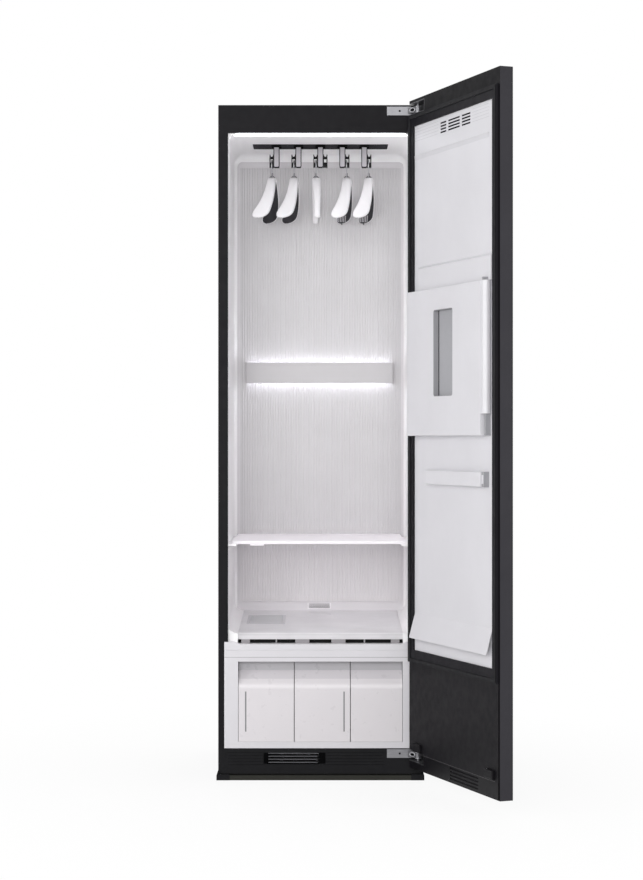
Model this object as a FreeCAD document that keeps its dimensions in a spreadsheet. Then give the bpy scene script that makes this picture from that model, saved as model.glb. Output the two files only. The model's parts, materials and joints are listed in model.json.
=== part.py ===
import FreeCAD, Part
import math
import os
import re
import Sketcher
from FreeCAD import Placement, Rotation, Vector

# A clothes care steam cabinet, free-standing, with its door open.
# Millimetres. +X to the cabinet's right as seen from the front, +Y to its back, +Z up.
# The origin is on the floor, half-way across, in the plane of the cabinet's front.

SIZES = (
    # steel case
    ("body_width", 592, "casing, side to side"),
    ("body_depth", 570, "casing, front plane to back"),
    ("body_height", 1956, "floor to top of casing"),
    ("sheet_steel", 1.2, "thickness of the casing and back panel"),
    ("casing_bottom", 23, "floor to lower edge of casing"),
    ("casing_bend", 1, "outer radius of the casing's folds"),
    # front surround
    ("surround_depth", 12, "front surround, front to back"),
    ("header_height", 80, "surround above the chamber opening"),
    ("stile_width", 28, "surround beside the chamber, with the casing's edge"),
    ("low_stile_width", 17.2, "surround beside the tank bay, with the casing's edge"),
    # chamber
    ("chamber_foot", 394, "floor to foot of chamber opening"),
    ("cove_radius", 30, "liner's walls into the chamber floor"),
    ("chamber_depth", 474, "front plane to liner's back wall"),
    ("liner_wall", 2, "thickness of the moulded liner"),
    ("liner_reveal", 2, "liner stands back from the stile's edge"),
    ("corner_radius", 16, "liner's upright back corners"),
    ("ceiling_radius", 35, "liner's ceiling into its back wall"),
    ("panel_thick", 4, "fluted back wall panel"),
    ("panel_edge", 18, "flat liner left beside the fluted panel"),
    ("panel_bottom", 480, "floor to lower edge of the fluted panel"),
    ("panel_top_gap", 40, "fluted panel below the ceiling"),
    ("flute_pitch", 8, "flute to flute"),
    ("flute_width", 3, "mouth of one flute"),
    ("flute_depth", 1.2, "depth of one flute"),
    # light bar and lights
    ("bar_left_room", 42, "chamber wall to the light bar's left end"),
    ("bar_right_room", 46, "chamber wall to the light bar's right end"),
    ("bar_bottom", 1163, "floor to the light bar's lower edge"),
    ("bar_height", 64, "light bar, top to bottom"),
    ("bar_standoff", 24, "light bar's face in front of the back wall"),
    ("bar_plate", 3, "thickness of the light bar's face"),
    ("bar_rib", 12, "rib that carries the light bar"),
    ("bar_edge", 2, "rounding of the light bar's edges"),
    ("led_margin", 6, "LED strip ends short of the light bar"),
    ("led_thick", 5, "LED strip's thickness"),
    ("led_width", 8, "LED strip's width"),
    ("lens_margin", 37, "chamber wall to the end of the ceiling light lens"),
    ("lens_front", 14, "front plane to the ceiling light lens"),
    ("lens_width", 20, "ceiling light lens, front to back"),
    # moving hangers
    ("hanger_depth", 280, "front plane to the row of hangers"),
    ("hanger_pitch", 66.5, "holder to holder"),
    ("hanger_side", 2, "holders on each side of the middle one"),
    ("plate_width", 408, "ceiling plate, side to side"),
    ("plate_depth", 98, "ceiling plate, front to back"),
    ("plate_thick", 3, "ceiling plate"),
    ("plate_drop", 1, "ceiling plate stands below the ceiling"),
    ("holder_width", 17, "one holder, side to side"),
    ("holder_depth", 24, "one holder, front to back"),
    ("holder_drop", 64, "holder's foot below the ceiling"),
    ("holder_round", 4, "rounding of the holder's foot"),
    ("hanger_travel", 5, "hangers move this far each way"),
    ("slot_margin", 1, "clearance round a holder at the end of its travel"),
    ("carriage_height", 12, "bar that carries the holders"),
    ("carriage_depth", 40, "carriage bar, front to back"),
    ("carriage_end", 22, "carriage bar beyond its outer holders"),
    ("cradle_gap", 10, "room for a hook between holder and lip"),
    ("cradle_lip", 3, "thickness of a cradle's lip"),
    ("cradle_height", 39, "cradle, top to bottom"),
    ("cradle_depth", 22, "cradle's lip, front to back"),
    ("cradle_bar", 8, "radius of the bar that a hook sits on"),
    ("lip_round", 5, "bevel of the cradle's lip"),
    ("hook_radius", 18, "wire hook, centre of the wire"),
    ("hook_wire", 1.8, "radius of the hook's wire"),
    ("hook_rise", 29, "neck of the hanger to the middle of its hook"),
    ("hook_tip", 20, "degrees below level where the hook ends"),
    ("hook_root", 4, "wire inside the hanger's neck"),
    ("hanger_tilt", 3, "degrees the hangers lean down to the front"),
    ("arm_half", 164, "hanger's half length"),
    ("arm_drop", 130, "arm's end below the neck"),
    ("arm_neck", 24, "arm's width at the neck"),
    ("arm_end", 39, "arm's width near its end"),
    ("arm_thick", 14, "arm's thickness"),
    ("arm_bow", 22, "arm's ends to the left of the neck"),
    ("slim_end", 18, "width of the slim hanger's arm near its end"),
    # shelf
    ("shelf_top", 692, "floor to the shelf's upper face"),
    ("shelf_thick", 9, "shelf"),
    ("shelf_front", 15, "front plane to the shelf's front edge"),
    ("shelf_back", 464, "front plane to the shelf's back edge"),
    ("shelf_left_room", 15, "chamber wall to the shelf's left edge"),
    ("shelf_right_room", 23.5, "chamber wall to its right edge, clear of the open door"),
    ("shelf_corner", 14, "chamfer of the shelf's back corners"),
    ("shelf_stop", 39, "stop below the shelf, side to side"),
    ("ledge_lap", 10, "shelf rests this far on each ledge"),
    ("ledge_height", 6, "ledge on the liner's wall"),
    # chamber floor
    ("floor_sheet", 3, "floor panel's wall"),
    ("floor_front", 424, "floor to the panel's top at its nose"),
    ("floor_back", 452, "floor to the panel's top at the back wall"),
    ("nose_front", 18, "front plane to the panel's nose"),
    ("nose_foot", 406, "floor to the nose's lower edge"),
    ("nose_round", 13, "outer rounding of the nose"),
    ("groove_start", 97, "front plane to the groove round the floor's middle"),
    ("groove_room", 4, "floor panel's side to the groove"),
    ("groove_line", 1, "width and depth of the groove"),
    ("recess_front", 386, "front plane to the finger recess"),
    ("recess_length", 14, "finger recess, front to back"),
    ("recess_width", 70, "finger recess, side to side"),
    ("recess_depth", 0.8, "finger recess at its front edge"),
    ("filter_room", 19, "floor panel's side to the filter"),
    ("filter_width", 115, "lint filter, side to side"),
    ("filter_front", 187, "front plane to the filter"),
    ("filter_depth", 172, "lint filter, front to back"),
    ("filter_flange", 1.5, "filter's flange on the floor panel"),
    ("filter_lap", 4, "flange beyond the filter's frame"),
    ("filter_tall", 12, "filter's frame below the flange"),
    ("filter_rim", 5, "wall of the filter's frame"),
    ("filter_rib", 2, "bar across the filter"),
    ("filter_pitch", 10, "bar to bar"),
    ("slot_comb", 16, "intake comb, front to back"),
    ("comb_room", 32, "chamber wall to the end of the intake comb"),
    ("comb_back", 2, "intake comb's back wall"),
    ("comb_setback", 1, "panel's nose to the comb's blocks"),
    ("comb_inner_start", 32, "centre line to the comb's inner block"),
    ("comb_inner_end", 73, "centre line to the inner block's far side"),
    ("comb_tick", 126, "centre line to the comb's thin rib"),
    ("comb_tick_width", 4, "thin rib, side to side"),
    ("comb_end_room", 8, "end of the comb to its outer block"),
    ("comb_outer_width", 25, "outer block, side to side"),
    ("outlet_left", 40, "centre line to the outlet grille's left edge"),
    ("outlet_width", 72.5, "outlet grille, side to side"),
    ("outlet_bottom", 457, "floor to the outlet grille"),
    ("outlet_height", 18, "outlet grille, top to bottom"),
    ("outlet_thick", 4, "outlet grille"),
    # tank bay
    ("band_bottom", 355, "floor to lower edge of the white band"),
    ("band_groove", 376, "floor to the band's groove"),
    ("groove_size", 0.8, "depth of the band's groove"),
    ("band_chamfer", 2, "band's upper edge"),
    ("band_rise", 6, "band's ends above its middle"),
    ("band_end", 29, "band's raised end, side to side"),
    ("band_slope", 16, "slope from the band's middle to its raised end"),
    ("base_top", 92, "floor to the top of the base grille"),
    ("bay_margin", 57.5, "casing's side to the bay's opening"),
    ("bay_bottom", 110, "floor to the bay's opening"),
    ("bay_top", 343, "floor to the top of the bay's opening"),
    ("bay_frame_depth", 8, "bay frame, front to back"),
    ("bay_back", 328, "front plane to the bay's back wall"),
    ("bay_wall", 2, "thickness of the bay's walls"),
    ("rib_width", 3, "guide rib between two tanks"),
    ("rib_height", 8, "guide rib"),
    ("tank_width", 161.5, "each water tank"),
    ("tank_gap", 1.2, "gap between fronts"),
    ("tank_side_gap", 0.6, "gap from the outer fronts to the bay"),
    ("tank_face", 1, "fronts stand behind the front plane"),
    ("tank_back_gap", 8, "tanks stop short of the bay's back wall"),
    ("tank_wall", 2.4, "thickness of a tank's wall"),
    ("tank_inset", 3, "tank's side behind its front"),
    ("front_flange", 32, "depth of the full-width front"),
    ("scoop_start", 274, "floor to where the front turns inward"),
    ("scoop_foot", 316, "floor to the finger scoop's lower edge"),
    ("scoop_depth", 25, "depth of the finger scoop"),
    ("front_round", 40, "rounding of the front where it turns inward"),
    ("lid_thick", 3, "tank's lid"),
    ("window_inset", 19.5, "level window from the tank's outer edge"),
    ("window_width", 4, "level window"),
    ("window_bottom", 140, "floor to the level window"),
    ("window_height", 116, "level window, top to bottom"),
    ("window_depth", 0.8, "level window's recess"),
    # base
    ("grille_depth", 10, "base grille, front to back"),
    ("grille_bottom", 18, "floor to the base grille"),
    ("groove_left_room", 11, "grille's left end to the grooves"),
    ("groove_right_room", 94, "grooves to the grille's right end"),
    ("groove_bottom", 43.4, "floor to the lowest groove"),
    ("groove_width", 2, "groove, top to bottom"),
    ("groove_pitch", 8.75, "groove to groove"),
    ("groove_count", 5, "grooves"),
    ("groove_depth", 1.5, "groove, front to back"),
    ("louvre_left", 158, "centre line to the louvres' left end"),
    ("louvre_right", 1, "centre line to the louvres' right end"),
    ("louvre_height", 4.5, "open louvre"),
    ("cap_width", 38, "end cap of the foot strip, side to side"),
    ("cap_proud", 5, "end caps beyond the casing's sides"),
    ("cap_top", 29, "floor to where the end cap leaves the casing's side"),
    ("cap_front", 1.5, "end caps in front of the foot strip"),
    ("strip_front", 6, "foot strip in front of the front plane"),
    ("strip_back", 40, "front plane to the foot strip's back"),
    ("strip_step", 14, "floor to the strip's top"),
    ("pan_bottom", 17, "floor to the base pan"),
    ("pan_rim", 40, "floor to the base pan's rim"),
    ("pan_sheet", 1.5, "base pan's thickness"),
    ("foot_radius", 20, "levelling foot's disc"),
    ("foot_disc", 6, "levelling foot's disc, top to bottom"),
    ("foot_stem", 8, "levelling foot's hexagon, to its corners"),
    ("foot_inset", 56, "casing's side to the feet"),
    ("foot_front", 80, "front plane to the front feet"),
    ("foot_back", 530, "front plane to the back feet"),
    # machine compartment
    ("compressor_radius", 62, "compressor's shell"),
    ("compressor_height", 160, "compressor, top to bottom"),
    ("compressor_dome", 24, "raised cap, as high as it is set in"),
    ("compressor_x", 200, "centre line to the compressor"),
    ("machine_inset", 120, "middle of the machine compartment to the back"),
    ("coil_half", 100, "half the heat exchangers' width"),
    ("coil_top", 212, "floor to the top of the heat exchangers"),
    ("coil_depth", 44, "one heat exchanger, front to back"),
    ("coil_front", 356, "front plane to the first heat exchanger"),
    ("coil_gap", 10, "between the two heat exchangers"),
    ("fin_pitch", 14, "fin to fin"),
    ("fin_gap", 5, "space between fins"),
    ("fin_depth", 8, "fins' depth"),
    ("steamer_left", 125, "centre line to the steam generator"),
    ("steamer_width", 140, "steam generator, side to side"),
    ("steamer_depth", 110, "steam generator, front to back"),
    ("steamer_height", 95, "steam generator, top to bottom"),
    ("steamer_round", 12, "steam generator's edges"),
    ("pump_radius", 22, "water pump"),
    ("pump_length", 58, "water pump, top to bottom"),
    ("fan_z", 300, "floor to the fan's axis"),
    ("scroll_radius", 80, "fan housing, outside"),
    ("scroll_wall", 3, "fan housing's wall"),
    ("scroll_front", 360, "front plane to the fan housing"),
    ("scroll_depth", 90, "fan housing, front to back"),
    ("scroll_eye", 42, "radius of the fan housing's inlet"),
    ("wheel_radius", 62, "fan wheel"),
    ("wheel_depth", 56, "fan wheel, front to back"),
    ("wheel_disc", 3, "fan wheel's back plate"),
    ("blade_count", 12, "blades"),
    ("blade_chord", 16, "blade, inwards from the rim"),
    ("blade_thick", 1.6, "blade"),
    ("hub_radius", 12, "fan wheel's hub"),
    ("shaft_radius", 4, "fan shaft"),
    ("motor_radius", 32, "fan motor"),
    ("motor_length", 50, "fan motor, front to back"),
    ("duct_half", 45, "half the air duct's width"),
    ("duct_wall", 2, "air duct's wall"),
    ("duct_bottom", 335, "floor to the air duct"),
    ("duct_shoulder", 387, "floor to the duct's shoulder under the liner"),
    ("duct_top", 482, "floor to the top of the air duct"),
    ("duct_back", 540, "front plane to the duct's back"),
    ("board_half", 62, "half the control board's case"),
    ("board_x", 205, "centre line to the control board"),
    ("board_y", 130, "front plane to the control board"),
    ("board_height", 40, "control board's case"),
    ("drive_x", 215, "centre line to the hanger drive motor"),
    ("drive_half", 24, "half the hanger drive's gearbox"),
    ("drive_height", 34, "hanger drive's gearbox"),
    ("drive_motor", 18, "radius of the hanger drive's motor"),
    ("vent_width", 110, "back panel louvre"),
    ("vent_height", 5, "back panel louvre, top to bottom"),
    ("vent_pitch", 16, "louvre to louvre"),
    ("vent_count", 7, "louvres in a group"),
    ("vent_bottom", 60, "floor to the lowest louvre"),
    ("vent_x", 200, "centre line to a group of louvres"),
    ("gland_x", 90, "centre line to the cord gland"),
    ("gland_z", 70, "floor to the cord gland"),
    ("gland_radius", 11, "hole for the cord gland"),
    ("gland_bore", 5, "cord gland's bore"),
    ("gland_flange", 15, "cord gland's flange radius"),
    # door slab
    ("door_width", 598, "door, edge to edge"),
    ("door_bottom", 41, "floor to the door"),
    ("door_top", 1963, "floor to the top of the door"),
    ("glass_thick", 4, "door's outer panel"),
    ("tray_depth", 34, "door's tray"),
    ("tray_wall", 2.5, "thickness of the door's tray"),
    ("door_gap", 11, "closed door's slab in front of the front plane"),
    ("door_open", 110.8, "degrees the door stands open"),
    ("door_round", 1.5, "rounding of the outer panel's edges"),
    ("pivot_inset", 17, "hinge edge to the pivot"),
    ("pivot_depth", 20, "pivot behind the slab's inner face"),
    # door's inner side: distances from the hinge edge, and heights above the slab
    ("frame_start", 6, "hinge edge to the raised frame"),
    ("frame_far", 6, "free edge to the raised frame"),
    ("frame_bottom", 347, "floor to the raised frame"),
    ("frame_top", 1918, "floor to the raised frame's top"),
    ("frame_height", 8, "raised frame above the slab"),
    ("gasket_inset", 3, "raised frame's edge to the gasket"),
    ("gasket_hinge_side", 12, "raised frame's hinge side to the gasket"),
    ("gasket_width", 9, "gasket"),
    ("gasket_height", 2.7, "gasket above the raised frame"),
    ("panel_start", 46, "hinge edge to the white panel"),
    ("panel_far", 32, "free edge to the white panel"),
    ("white_bottom", 384, "floor to the white panel"),
    ("white_top", 1883, "floor to the white panel's top"),
    ("white_thick", 3, "white panel"),
    ("door_vent_start", 225, "hinge edge to the door's vent"),
    ("door_vent_end", 421, "hinge edge to the vent's far side"),
    ("door_vent_bottom", 1838.5, "floor to the door's vent"),
    ("door_vent_slot", 4.6, "vent slot, top to bottom"),
    ("door_vent_pitch", 8.6, "vent slot to vent slot"),
    ("door_vent_rows", 4, "rows of vent slots"),
    ("door_vent_bridge", 13, "bridge between two columns of slots"),
    ("lip_top", 490, "floor to where the drip lip leaves the panel"),
    ("lip_bottom", 420, "floor to the drip lip's edge"),
    ("lip_reach", 22, "drip lip's edge above the slab"),
    ("lip_sheet", 2, "drip lip's thickness"),
    ("lip_start", 47, "hinge edge to the drip lip"),
    ("lip_far", 40, "free edge to the drip lip"),
    ("lip_corner", 5, "rounding of the drip lip's free corners"),
    ("low_panel_margin", 6, "lower inner panel from the slab's edge"),
    ("low_panel_bottom", 88, "floor to the lower inner panel"),
    ("low_panel_thick", 2, "lower inner panel"),
    ("bumper_start", 45, "hinge edge to the first bumper"),
    ("bumper_room", 74, "free edge to where the second bumper starts"),
    ("bumper_width", 47, "bumper"),
    ("bumper_height", 24, "bumper, top to bottom"),
    ("bumper_reach", 10.5, "bumper above the slab"),
    ("bumper_round", 3, "bumper's edges"),
    ("door_grille_start", 288, "hinge edge to the door's lower grille"),
    ("door_grille_end", 469, "hinge edge to the grille's far side"),
    ("door_grille_bottom", 51, "floor to the door's lower grille"),
    ("door_grille_slot", 4.5, "slot, top to bottom"),
    ("door_grille_pitch", 9.5, "slot to slot"),
    ("door_grille_rows", 4, "slots"),
    # hinges
    ("cup_length", 106, "hinge cup along the door"),
    ("cup_height", 33, "hinge cup, top to bottom"),
    ("cup_sheet", 1.5, "hinge cup's steel"),
    ("top_cup", 1922, "floor to the upper hinge cup"),
    ("low_cup", 60.5, "floor to the lower hinge cup"),
    ("pin_radius", 4, "hinge pin"),
    ("eye_radius", 8, "hinge arm's eye"),
    ("arm_height", 17, "hinge arm, top to bottom"),
    ("arm_width", 12, "hinge arm's width"),
    ("hinge_plate_left", 193, "centre line to the hinge plate"),
    ("hinge_plate_right", 258, "centre line to the hinge plate's far end"),
    ("hinge_plate_height", 25, "hinge plate, top to bottom"),
    ("hinge_plate_thick", 3, "hinge plate"),
    ("hinge_screw", 3, "radius of the hinge plate's screw hole"),
    ("hinge_screw_x", 230, "centre line to the screw hole"),
    # trouser press
    ("press_start", 83, "hinge edge to the press base"),
    ("press_far", 65, "free edge to the press base"),
    ("press_bottom", 997, "floor to the press"),
    ("press_split", 1407, "floor to the top of the press cover"),
    ("press_top", 1478, "floor to the top of the press base"),
    ("press_board", 6, "press base behind the cover, above the white panel"),
    ("press_head", 8, "press base above the cover, above the white panel"),
    ("cover_start", 41, "hinge edge to the press cover's free edge"),
    ("cover_face", 26, "press cover's face above the slab"),
    ("cover_back", 10, "press cover's back above the slab"),
    ("cover_wall", 2.5, "press cover's wall"),
    ("cover_round", 2.5, "rounding of the press cover's edges"),
    ("barrel_far", 53, "free edge to the press cover's pivot"),
    ("barrel_h", 14.7, "press cover's pivot above the slab"),
    ("barrel_radius", 11.3, "press cover's barrel"),
    ("barrel_foot", 1055, "floor to the barrel's lower end"),
    ("press_pin", 2.5, "press cover's pivot pins"),
    ("press_pin_reach", 14, "pivot pin inside the barrel"),
    ("pocket_start", 227, "hinge edge to the pull pocket"),
    ("pocket_end", 355, "hinge edge to the pull pocket's far side"),
    ("pocket_bottom", 1106, "floor to the pull pocket"),
    ("pocket_top", 1346, "floor to the pull pocket's top"),
    ("pocket_depth", 14, "pull pocket"),
    ("pocket_wall", 1.5, "pull pocket's wall"),
    ("pocket_corner", 8, "pull pocket's corners"),
    ("pad_thick", 1, "press cover's cloth pad"),
    ("pad_proud", 0.6, "pad stands out of the cover's back"),
    # hem clamp
    ("clamp_start", 160, "hinge edge to the hem clamp's free end"),
    ("clamp_far", 81, "free edge to the hem clamp's bracket"),
    ("clamp_bottom", 861, "floor to the hem clamp"),
    ("clamp_top", 901, "floor to the hem clamp's top"),
    ("clamp_face", 18.5, "hem clamp's face above the slab"),
    ("clamp_round", 3, "rounding of the hem clamp's edges"),
    ("clamp_pivot_far", 73, "free edge to the hem clamp's pivot"),
    ("clamp_ear", 8, "bracket's ear, top to bottom"),
    ("clamp_ear_radius", 7.2, "bracket's ear round the pin"),
    ("clamp_pin", 2.5, "hem clamp's pin"),
    ("clamp_bracket_far", 60, "free edge to the bracket's far end"),
    # clearances
    ("seat_gap", 0.3, "between pieces that move on each other"),
    ("run_gap", 0.05, "pin in its bore, on the radius"),
)

# Places worked out from the sizes above.
PLACES = {
    "half": "body_width / 2",
    "inside": "half - sheet_steel",
    "opening": "half - stile_width",
    "low_opening": "half - low_stile_width",
    "casing_top": "body_height - sheet_steel",
    "chamber_half": "opening + liner_reveal",
    "shelf_left": "chamber_half - shelf_left_room",
    "shelf_right": "chamber_half - shelf_right_room",
    "bar_left": "chamber_half - bar_left_room",
    "bar_width": "2 * chamber_half - bar_left_room - bar_right_room",
    "lens_length": "2 * chamber_half - 2 * lens_margin",
    "comb_half": "chamber_half - comb_room",
    "comb_outer": "comb_half - comb_end_room",
    "cove_foot": "chamber_half - cove_radius",
    "filter_left": "cove_foot - filter_room",
    "groove_edge": "cove_foot - groove_room",
    "band_top": "chamber_foot + band_rise",
    "cap_half": "half + cap_proud",
    "strip_half": "cap_half - cap_width",
    "bay_half": "half - bay_margin",
    "foot_half": "half - foot_inset",
    "groove_left": "low_opening - groove_left_room",
    "groove_right": "low_opening - groove_right_room",
    "machine_y": "body_depth - machine_inset",
    "chamber_top": "body_height - header_height",
    "wall_front": "chamber_depth - panel_thick",
    "liner_back": "chamber_depth + liner_wall",
    "liner_roof": "chamber_top + liner_wall",
    "liner_foot": "chamber_foot - liner_wall",
    "back_inside": "body_depth - sheet_steel",
    "bar_front": "wall_front - bar_standoff",
    "bar_middle": "bar_bottom + bar_height / 2",
    "holder_foot": "chamber_top - holder_drop",
    "carriage_foot": "liner_roof + seat_gap",
    "cradle_z": "holder_foot + cradle_bar",
    "hook_z": "cradle_z - hook_radius + hook_wire + cradle_bar + seat_gap",
    "neck_z": "hook_z - hook_rise",
    "shelf_bottom": "shelf_top - shelf_thick",
    "ledge_top": "shelf_bottom - seat_gap",
    "floor_end": "chamber_depth - seat_gap",
    "floor_rise": "(floor_back - floor_front) / (floor_end - nose_front)",
    "floor_z": "floor_front - floor_rise * nose_front",
    "filter_z": "floor_z + floor_rise * filter_front",
    "drawer_left": "2 * tank_width + 2 * tank_gap + tank_side_gap - bay_half",
    "drawer_width": "bay_half - tank_side_gap - drawer_left",
    "tank_foot": "bay_bottom + seat_gap",
    "tank_top": "bay_top - tank_side_gap",
    "tank_back": "bay_back - tank_back_gap",
    "scoop_back": "tank_face + scoop_depth",
    "pan_floor": "pan_bottom + pan_sheet",
    "coil_back": "coil_front + coil_depth",
    "scroll_back": "scroll_front + scroll_depth",
    "door_edge": "door_width / 2",
    "frame_end": "door_width - frame_far",
    "panel_end": "door_width - panel_far",
    "lip_end": "door_width - lip_far",
    "bumper_far": "door_width - bumper_room",
    "press_end": "door_width - press_far",
    "barrel_u": "door_width - barrel_far",
    "clamp_end": "door_width - clamp_far",
    "clamp_pivot": "door_width - clamp_pivot_far",
    "clamp_bracket_end": "door_width - clamp_bracket_far",
    "pivot_x": "door_edge - pivot_inset",
    "pivot_y": "0 - door_gap - pivot_depth",
    "glass_front": "0 - door_gap - tray_depth - glass_thick",
    "tray_front": "0 - door_gap - tray_depth",
}

doc = FreeCAD.newDocument("steam_cabinet")
sheet = doc.addObject("Spreadsheet::Sheet", "size")
for row, (alias, value, meaning) in enumerate(SIZES, start=1):
    sheet.set(f"A{row}", meaning)
    sheet.set(f"B{row}", str(value))
    sheet.setAlias(f"B{row}", alias)
doc.recompute()
ALIASES = {alias for alias, value, meaning in SIZES}


def formula(text):
    """The expression on the sheet's cells that a size in words stands for."""

    def expand(found):
        word = found.group()
        if word in ALIASES:
            return "size." + word
        if word in PLACES:
            return "(" + formula(PLACES[word]) + ")"
        return word

    return re.sub(r"[a-z][a-z_0-9]*", expand, str(text))


def number(text):
    """The present value of a size in words."""
    return float(sheet.evalExpression(formula(text)))


def whole(text):
    """The present value of a count in words."""
    return int(round(number(text)))


def bind(piece, **sizes):
    """Tie properties of a piece to sizes in words; Base_x stands for Placement.Base.x."""
    for name, text in sizes.items():
        path = "Placement.Base." + name[-1] if name.startswith("Base_") else name
        piece.setExpression(path, formula(text))
    return piece


def across(half_width):
    """A pair of places the same distance each side of the centre line."""
    return f"0 - ({half_width})", half_width


def on_door(start, end):
    """Places across the closed door, from distances to its hinge edge."""
    return f"door_edge - ({end})", f"door_edge - ({start})"


def above_slab(low, high):
    """Places in front of the closed door's inner face."""
    return f"({low}) - door_gap", f"({high}) - door_gap"


# ---------------------------------------------------------------- primitives and booleans


def box(name, xs, ys, zs):
    piece = doc.addObject("Part::Box", name)
    for side, axis, (low, high) in zip(("Length", "Width", "Height"), "xyz", (xs, ys, zs)):
        bind(piece, **{side: f"({high}) - ({low})", "Base_" + axis: low})
    return piece


TURNS = {
    "x": Rotation(Vector(0, 1, 0), 90),
    "y": Rotation(Vector(1, 0, 0), -90),
    "z": Rotation(),
}


def rod(name, radius, centre, length, along="z"):
    """A cylinder that starts at centre and runs along one axis."""
    piece = doc.addObject("Part::Cylinder", name)
    piece.Placement = Placement(Vector(), TURNS[along])
    x, y, z = centre
    return bind(piece, Radius=radius, Height=length, Base_x=x, Base_y=y, Base_z=z)


def prism(name, sides, radius, centre, length, along="z"):
    """A bar with this many sides that starts at centre and runs along one axis."""
    piece = doc.addObject("Part::Prism", name)
    piece.Polygon = sides
    piece.Placement = Placement(Vector(), TURNS[along])
    x, y, z = centre
    return bind(piece, Circumradius=radius, Height=length, Base_x=x, Base_y=y, Base_z=z)


def fused(name, *pieces):
    piece = doc.addObject("Part::MultiFuse", name)
    piece.Shapes = list(pieces)
    return piece


def cut(name, base, *tools):
    piece = doc.addObject("Part::Cut", name)
    piece.Base = base
    piece.Tool = tools[0] if len(tools) == 1 else fused(name + "_hollows", *tools)
    return piece


def group(name, *pieces):
    """Separate solids of one kind that share a node."""
    piece = doc.addObject("Part::Compound", name)
    piece.Links = list(pieces)
    return piece


def edges_where(shape, **places):
    """Numbers of the edges whose two ends lie at all the given places, such as x=3.0."""
    found = []
    for index, edge in enumerate(shape.Edges, start=1):
        ends = [vertex.Point for vertex in edge.Vertexes]
        if len(ends) != 2:
            continue
        if all(abs(getattr(end, axis) - at) < 0.02 for end in ends for axis, at in places.items()):
            found.append(index)
    return found


def rounded(name, base, radius, *picks, kind="Part::Fillet"):
    """A fillet or chamfer of one size on the edges that lie at any of the picked places."""
    doc.recompute()
    size = number(radius)
    edges = set()
    for pick in picks:
        edges.update(edges_where(base.Shape, **{axis: number(at) for axis, at in pick.items()}))
    piece = doc.addObject(kind, name)
    piece.Base = base
    piece.Edges = [(edge, size, size) for edge in sorted(edges)]
    return piece


# ---------------------------------------------------------------- sketched bodies


def new_body(name, **base):
    body = doc.addObject("PartDesign::Body", name)
    return bind(body, **base)


def draw(body, name, plane, *loops):
    """A sketch on one of the body's planes: closed loops of corners given in words."""
    sketch = body.newObject("Sketcher::SketchObject", name)
    support = next(item for item in body.Origin.OriginFeatures if item.Role == plane + "_Plane")
    sketch.AttachmentSupport = (support, [""])
    sketch.MapMode = "FlatFace"
    for loop in loops:
        first = sketch.GeometryCount
        points = [Vector(number(x), number(y), 0) for x, y in loop]
        count = len(points)
        for index in range(count):
            line = Part.LineSegment(points[index], points[(index + 1) % count])
            sketch.addGeometry(line, False)
        for index in range(count):
            after = first + (index + 1) % count
            sketch.addConstraint(Sketcher.Constraint("Coincident", first + index, 2, after, 1))
        for index, corner in enumerate(loop):
            place = (points[index].x, points[index].y)
            for kind, at, text in zip(("DistanceX", "DistanceY"), place, corner):
                rule = Sketcher.Constraint(kind, -1, 1, first + index, 1, at)
                sketch.setExpression(f"Constraints[{sketch.addConstraint(rule)}]", formula(text))
    return sketch


def rectangle(xs, ys):
    return [(xs[0], ys[0]), (xs[1], ys[0]), (xs[1], ys[1]), (xs[0], ys[1])]


def pad(body, name, plane, length, *loops):
    """Material from a sketch, towards +X, +Y or +Z."""
    feature = body.newObject("PartDesign::Pad", name)
    feature.Profile = draw(body, name + "_outline", plane, *loops)
    feature.Reversed = plane == "XZ"
    return bind(feature, Length=length)


def pocket(body, name, plane, length, *loops):
    """A hollow from a sketch, towards +X, +Y or +Z."""
    feature = body.newObject("PartDesign::Pocket", name)
    feature.Profile = draw(body, name + "_outline", plane, *loops)
    feature.Reversed = plane != "XZ"
    return bind(feature, Length=length)


def rows(body, name, feature, direction, pitch, count):
    """Copies of a feature along an axis of its own sketch."""
    pattern = body.newObject("PartDesign::LinearPattern", name)
    pattern.Originals = [feature]
    pattern.Direction = (feature.Profile[0], [direction])
    pattern.Mode = "Spacing"
    bind(pattern, Offset=pitch, Occurrences=count)
    body.Tip = pattern
    return pattern


def soften(body, name, radius, *picks):
    """A fillet on the body's edges at the picked places, in the body's own frame."""
    doc.recompute()
    base = body.Tip
    edges = set()
    for pick in picks:
        at = {axis: number(text) for axis, text in pick.items()}
        edges.update(edges_where(base.Shape, **at))
    feature = body.newObject("PartDesign::Fillet", name)
    feature.Base = (base, [f"Edge{edge}" for edge in sorted(edges)])
    bind(feature, Radius=radius)
    body.Tip = feature
    return feature


# ---------------------------------------------------------------- finished sub-parts

NODES = []


def node(name, piece):
    piece.Label = name
    NODES.append(piece)
    return piece


def door_node(name, piece, x="0", y="0"):
    """A sub-part drawn on the closed door from (x, y), swung open about the hinge pins."""
    piece.Placement = Placement(Vector(), Rotation(Vector(0, 0, 1), 1))
    run_x, run_y = f"({x} - pivot_x)", f"({y} - pivot_y)"
    turned_x = f"pivot_x + {run_x} * cos(door_open) - {run_y} * sin(door_open)"
    turned_y = f"pivot_y + {run_x} * sin(door_open) + {run_y} * cos(door_open)"
    bind(piece, **{"Placement.Rotation.Angle": "door_open"})
    bind(piece, Base_x=turned_x, Base_y=turned_y)
    return node(name, piece)


# ---------------------------------------------------------------- steel case


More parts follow.
